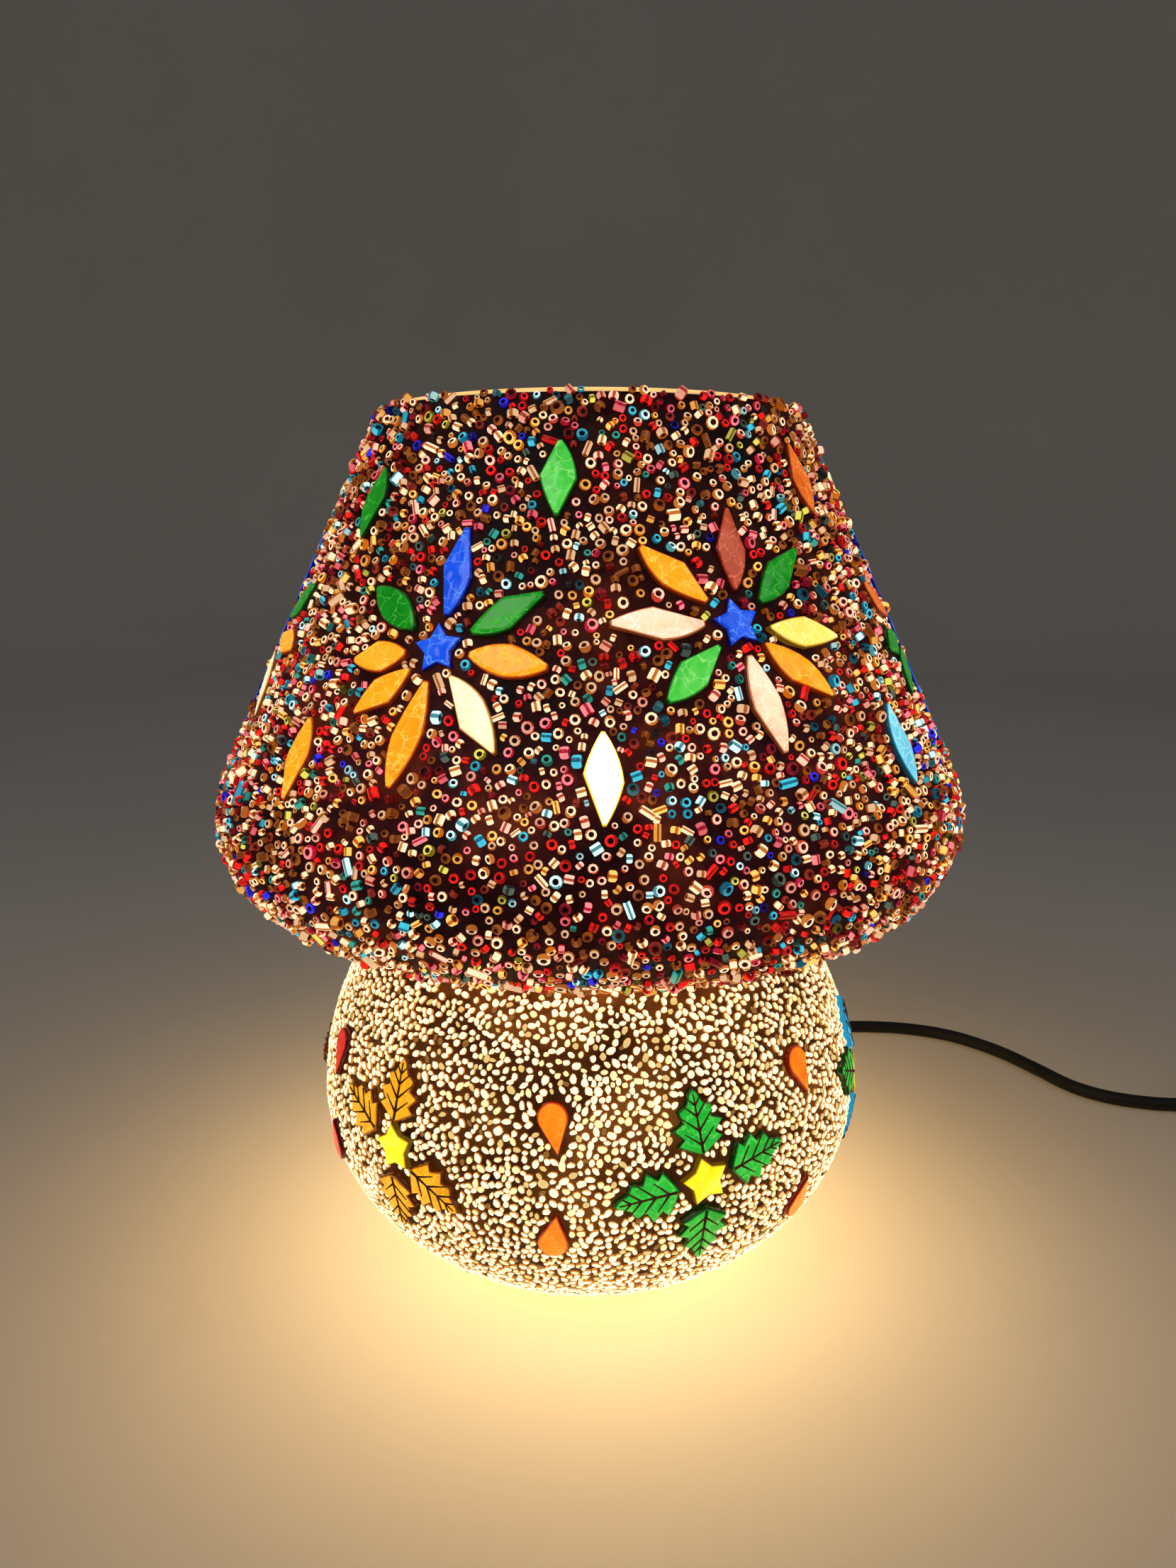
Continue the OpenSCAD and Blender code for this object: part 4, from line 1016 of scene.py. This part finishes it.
def chip_template():
    pts = turned(CHIP_ROWS, np.arange(CHIP_SIDES) / CHIP_SIDES * 2 * math.pi).reshape(-1, 3)
    faces = ring_faces(len(CHIP_ROWS), CHIP_SIDES)
    kind = np.where(np.arange(len(faces)) // CHIP_SIDES < 2, 1, 0)
    low = np.arange(CHIP_SIDES)
    return pts, faces, kind, np.array([(len(CHIP_ROWS) - 1) * CHIP_SIDES + low, low[::-1]])


def chip_radius(n):
    return np.clip(NPR.normal(0.97, 0.15, n), 0.65, 1.4)


chip_at, chip_axes, chip_r = throw(base_surface, CHIPS, chip_radius, 0.15, CHIP_TRIES, 0.905)
high = chip_at[:, 2] - THIN_Z
stay = ~((high > 0) & (NPR.random(len(chip_at)) < high / THIN_OVER))
chip_at, chip_axes, chip_r = chip_at[stay], chip_axes[stay], chip_r[stay]
n_chips = len(chip_at)
stretch = NPR.uniform(1.05, 1.75, n_chips)
spin = NPR.random(n_chips) * 2 * math.pi
c, q = np.cos(spin)[:, None], np.sin(spin)[:, None]
u = c * chip_axes[:, :, 0] + q * chip_axes[:, :, 1]
v = -q * chip_axes[:, :, 0] + c * chip_axes[:, :, 1]
chip_frames = np.stack([u, v, chip_axes[:, :, 2]], axis=-1)
chip_scale = np.column_stack([chip_r * np.sqrt(stretch), chip_r / np.sqrt(stretch),
                              NPR.uniform(0.7, 1.0, n_chips)])
chip_centre = chip_at + chip_axes[:, :, 2] * 0.75
TONES = {"white": (0.70, "#fff7d0", "#e6983a", 1.15), "cream": (0.20, "#ffecb0", "#d0842c", 1.08),
         "straw": (0.08, "#ecd084", "#9c5c18", 0.85), "dim": (0.02, "#a87838", "#5a3410", 0.55)}
tone = NPR.choice(4, n_chips, p=[t[0] for t in TONES.values()])
pts, side_faces, side_kind, caps = chip_template()
for k, (key, (_, lit, edge, strength)) in enumerate(TONES.items()):
    lit, edge = srgb(lit), srgb(edge)
    # Painted light on each chip: its top face lit, its sides and underside a dimmer, darker amber glow.
    materials = [plain_glass(f"chip_{key}_face", lit, strength, 0.25, body=[x * 0.6 for x in lit]),
                 plain_glass(f"chip_{key}_edge", edge, strength * 0.6, 0.3)]
    mine = np.where(tone == k)[0]
    for start in range(0, len(mine), CHIPS_PER_PIECE):
        pick = mine[start:start + CHIPS_PER_PIECE]
        ragged = 1 + NPR.uniform(-0.17, 0.17, (len(pick), CHIP_SIDES))
        ragged = np.tile(ragged, (1, len(CHIP_ROWS)))[:, :, None] * np.array([1, 1, 0]) + np.array([0, 0, 1])
        where = chip_centre[pick], chip_frames[pick], chip_scale[pick]
        points, quads = stamp(pts, side_faces, *where, ragged)
        _, ends = stamp(pts, caps, *where)
        blocks = [(points, quads, np.tile(side_kind, len(pick))),
                  (np.zeros((0, 3)), ends - len(points), np.tile([0, 1], len(pick)))]
        make_piece(f"chips_{key}_{start // CHIPS_PER_PIECE + 1}", blocks, materials,
                   replaces=["base_chip_layer"])

# ---- finishes of the CAD nodes that stay
# The bulb's clear glass has a faint painted glow of its filament.
bulb_material, bulb_tree, bulb_p = new_material(
    "bulb_clear_glass", Base_Color=(1, 0.97, 0.9, 1), Transmission_Weight=1.0, IOR=1.05,
    Emission_Color=rgba("#ffc878"), Emission_Strength=0.16)
smear = noise_fac(bulb_tree, object_point(bulb_tree), 50.0, 3.0)
bulb_tree.links.new(ramp(bulb_tree, smear, [(0.3, 0.02), (0.8, 0.09)]), bulb_p.inputs["Roughness"])

FINISHES = [
    (finish_material("turned_brass", [0.52, 0.34, 0.10], [0.72, 0.52, 0.20], 60, (0.2, 0.38), 1.0, 0.2),
     ["stem_pipe", "holder_thread_shell", "holder_centre_contact", "holder_screws", "switch_contacts"]),
    (finish_material("zinc_plate", [0.42, 0.42, 0.41], [0.6, 0.6, 0.58], 80, (0.22, 0.42), 1.0, 0.2),
     ["stem_nuts", "stem_steel_washers", "switch_axle", "switch_screws"]),
    (finish_material("nickel_plate", [0.55, 0.53, 0.5], [0.68, 0.66, 0.62], 60, (0.12, 0.24), 1.0, 0.1),
     ["bulb_cap", "bulb_tip", "plug_pins"]),
    (finish_material("black_moulding", 0.008, [0.018, 0.017, 0.016], 150, (0.3, 0.42), grain=0.25),
     ["holder_cap", "holder_sleeve", "switch_lower", "switch_upper", "plug_body", "plug_sleeves",
      "cord_grommet"]),
    (finish_material("polished_rocker", [0.012, 0.011, 0.01], [0.02, 0.018, 0.017], 120, (0.12, 0.2),
                     grain=0.05), ["switch_rocker"]),
    (finish_material("glazed_ceramic", [0.68, 0.64, 0.55], [0.8, 0.76, 0.68], 70, (0.14, 0.26), grain=0.1),
     ["holder_core"]),
    (finish_material("washer_rubber", 0.012, [0.025, 0.025, 0.024], 200, (0.6, 0.8), grain=0.3),
     ["stem_rubber_washers"]),
    (finish_material("pressed_felt", [0.008, 0.007, 0.006], [0.03, 0.026, 0.024], 900, (0.85, 1.0),
                     grain=0.9, distance=0.0003), ["foot_pad"]),
    (finish_material("woven_strap", [0.008, 0.008, 0.009], [0.03, 0.03, 0.032], 1400, (0.7, 0.9),
                     grain=0.9, distance=0.0003), ["coil_tie"]),
    (finish_material("black_glass", [0.006, 0.007, 0.01], [0.014, 0.015, 0.02], 90, (0.08, 0.16)),
     ["bulb_insulator"]),
    (finish_material("core_blue", "#1c3f96", "#2f56b0", 120, (0.4, 0.5)), ["holder_leads"]),
    # The glass mount inside the bulb has a painted glow of the filament.
    (finish_material("glass_mount", [0.8, 0.76, 0.66], [0.9, 0.87, 0.8], 90, (0.1, 0.2),
                     glow=("#ffd890", 0.7)), ["bulb_mount"]),
    (finish_material("lit_filament", "#ffd890", "#fff0c8", 300, (0.3, 0.5), glow=("#ffcf80", 14.0)),
     ["bulb_filaments"]),
    (bulb_material, ["bulb_glass"]), (FLEX, ["cord_inside"])]
for material, members in FINISHES:
    for name in members:
        o = NODES[name]
        o.data.materials.clear()
        o.data.materials.append(material)
for name, width in (("switch_lower", 0.8), ("switch_upper", 1.6), ("plug_body", 1.8), ("switch_rocker", 0.4),
                    ("coil_tie", 0.2), ("holder_core", 0.3)):
    b = NODES[name].modifiers.new("soft edges", "BEVEL")
    b.width = width * MM
    b.segments = 3
    b.limit_method = "ANGLE"
    b.angle_limit = math.radians(50)

# ---- room and light
FLOOR_R, COVE_R, ROOM_H, ROOM_COLS = 2.2, 0.7, 2.6, 96
room_profile = [(r, 0.0) for r in (0.0001, 0.25, 0.6, 1.0, FLOOR_R - COVE_R)]
room_profile += [(FLOOR_R - COVE_R + COVE_R * math.sin(a), COVE_R - COVE_R * math.cos(a))
                 for a in np.linspace(0.15, math.pi / 2, 12)] + [(FLOOR_R, ROOM_H)]
room_points, _ = revolve([(r * 1000, z * 1000) for r, z in room_profile], ROOM_COLS)
room_faces = ring_faces(len(room_profile), ROOM_COLS)
room_mesh = bpy.data.meshes.new("floor")
room_mesh.from_pydata((room_points * MM).tolist(), [], room_faces.tolist())
room_mesh.shade_smooth()
floor = put("floor", room_mesh)
room_mesh.materials.append(finish_material(
    "pale_floor", [0.56, 0.53, 0.49], [0.6, 0.57, 0.53], 3, (0.55, 0.7)))


def area_light(name, at, aim, size, watts, colour):
    data = bpy.data.lights.new(name, "AREA")
    data.shape, data.size, data.energy, data.color = "DISK", size, watts, colour
    o = put(name, data)
    o.location = at
    o.rotation_euler = (Vector(aim) - Vector(at)).to_track_quat("-Z", "Y").to_euler()


def glow_light(name, at, radius, watts, colour, shadow):
    data = bpy.data.lights.new(name, "POINT")
    data.shadow_soft_size, data.energy, data.color, data.use_shadow = radius, watts, colour, shadow
    o = put(name, data)
    o.location = at
    o.visible_camera = o.visible_glossy = o.visible_transmission = False


area_light("key", (-0.7, -0.9, 1.3), (0, 0, 0.12), 0.9, 3.0, (1, 0.98, 0.95))
area_light("fill", (1.0, -0.5, 0.9), (0, 0, 0.1), 0.9, 1.0, (0.95, 0.97, 1))
glow_light("base_glow", (0, 0, 0.045), 0.04, 1.9, (1, 0.66, 0.28), False)
glow_light("bulb_light", (0, 0, 0.15), 0.02, 0.5, (1, 0.74, 0.4), True)
world = bpy.data.worlds.new("studio")
world.use_nodes = True
world.node_tree.nodes["Background"].inputs["Color"].default_value = (0.9, 0.93, 1.0, 1)
world.node_tree.nodes["Background"].inputs["Strength"].default_value = 0.14
bpy.context.scene.world = world
bpy.context.scene.view_settings.view_transform = "Standard"
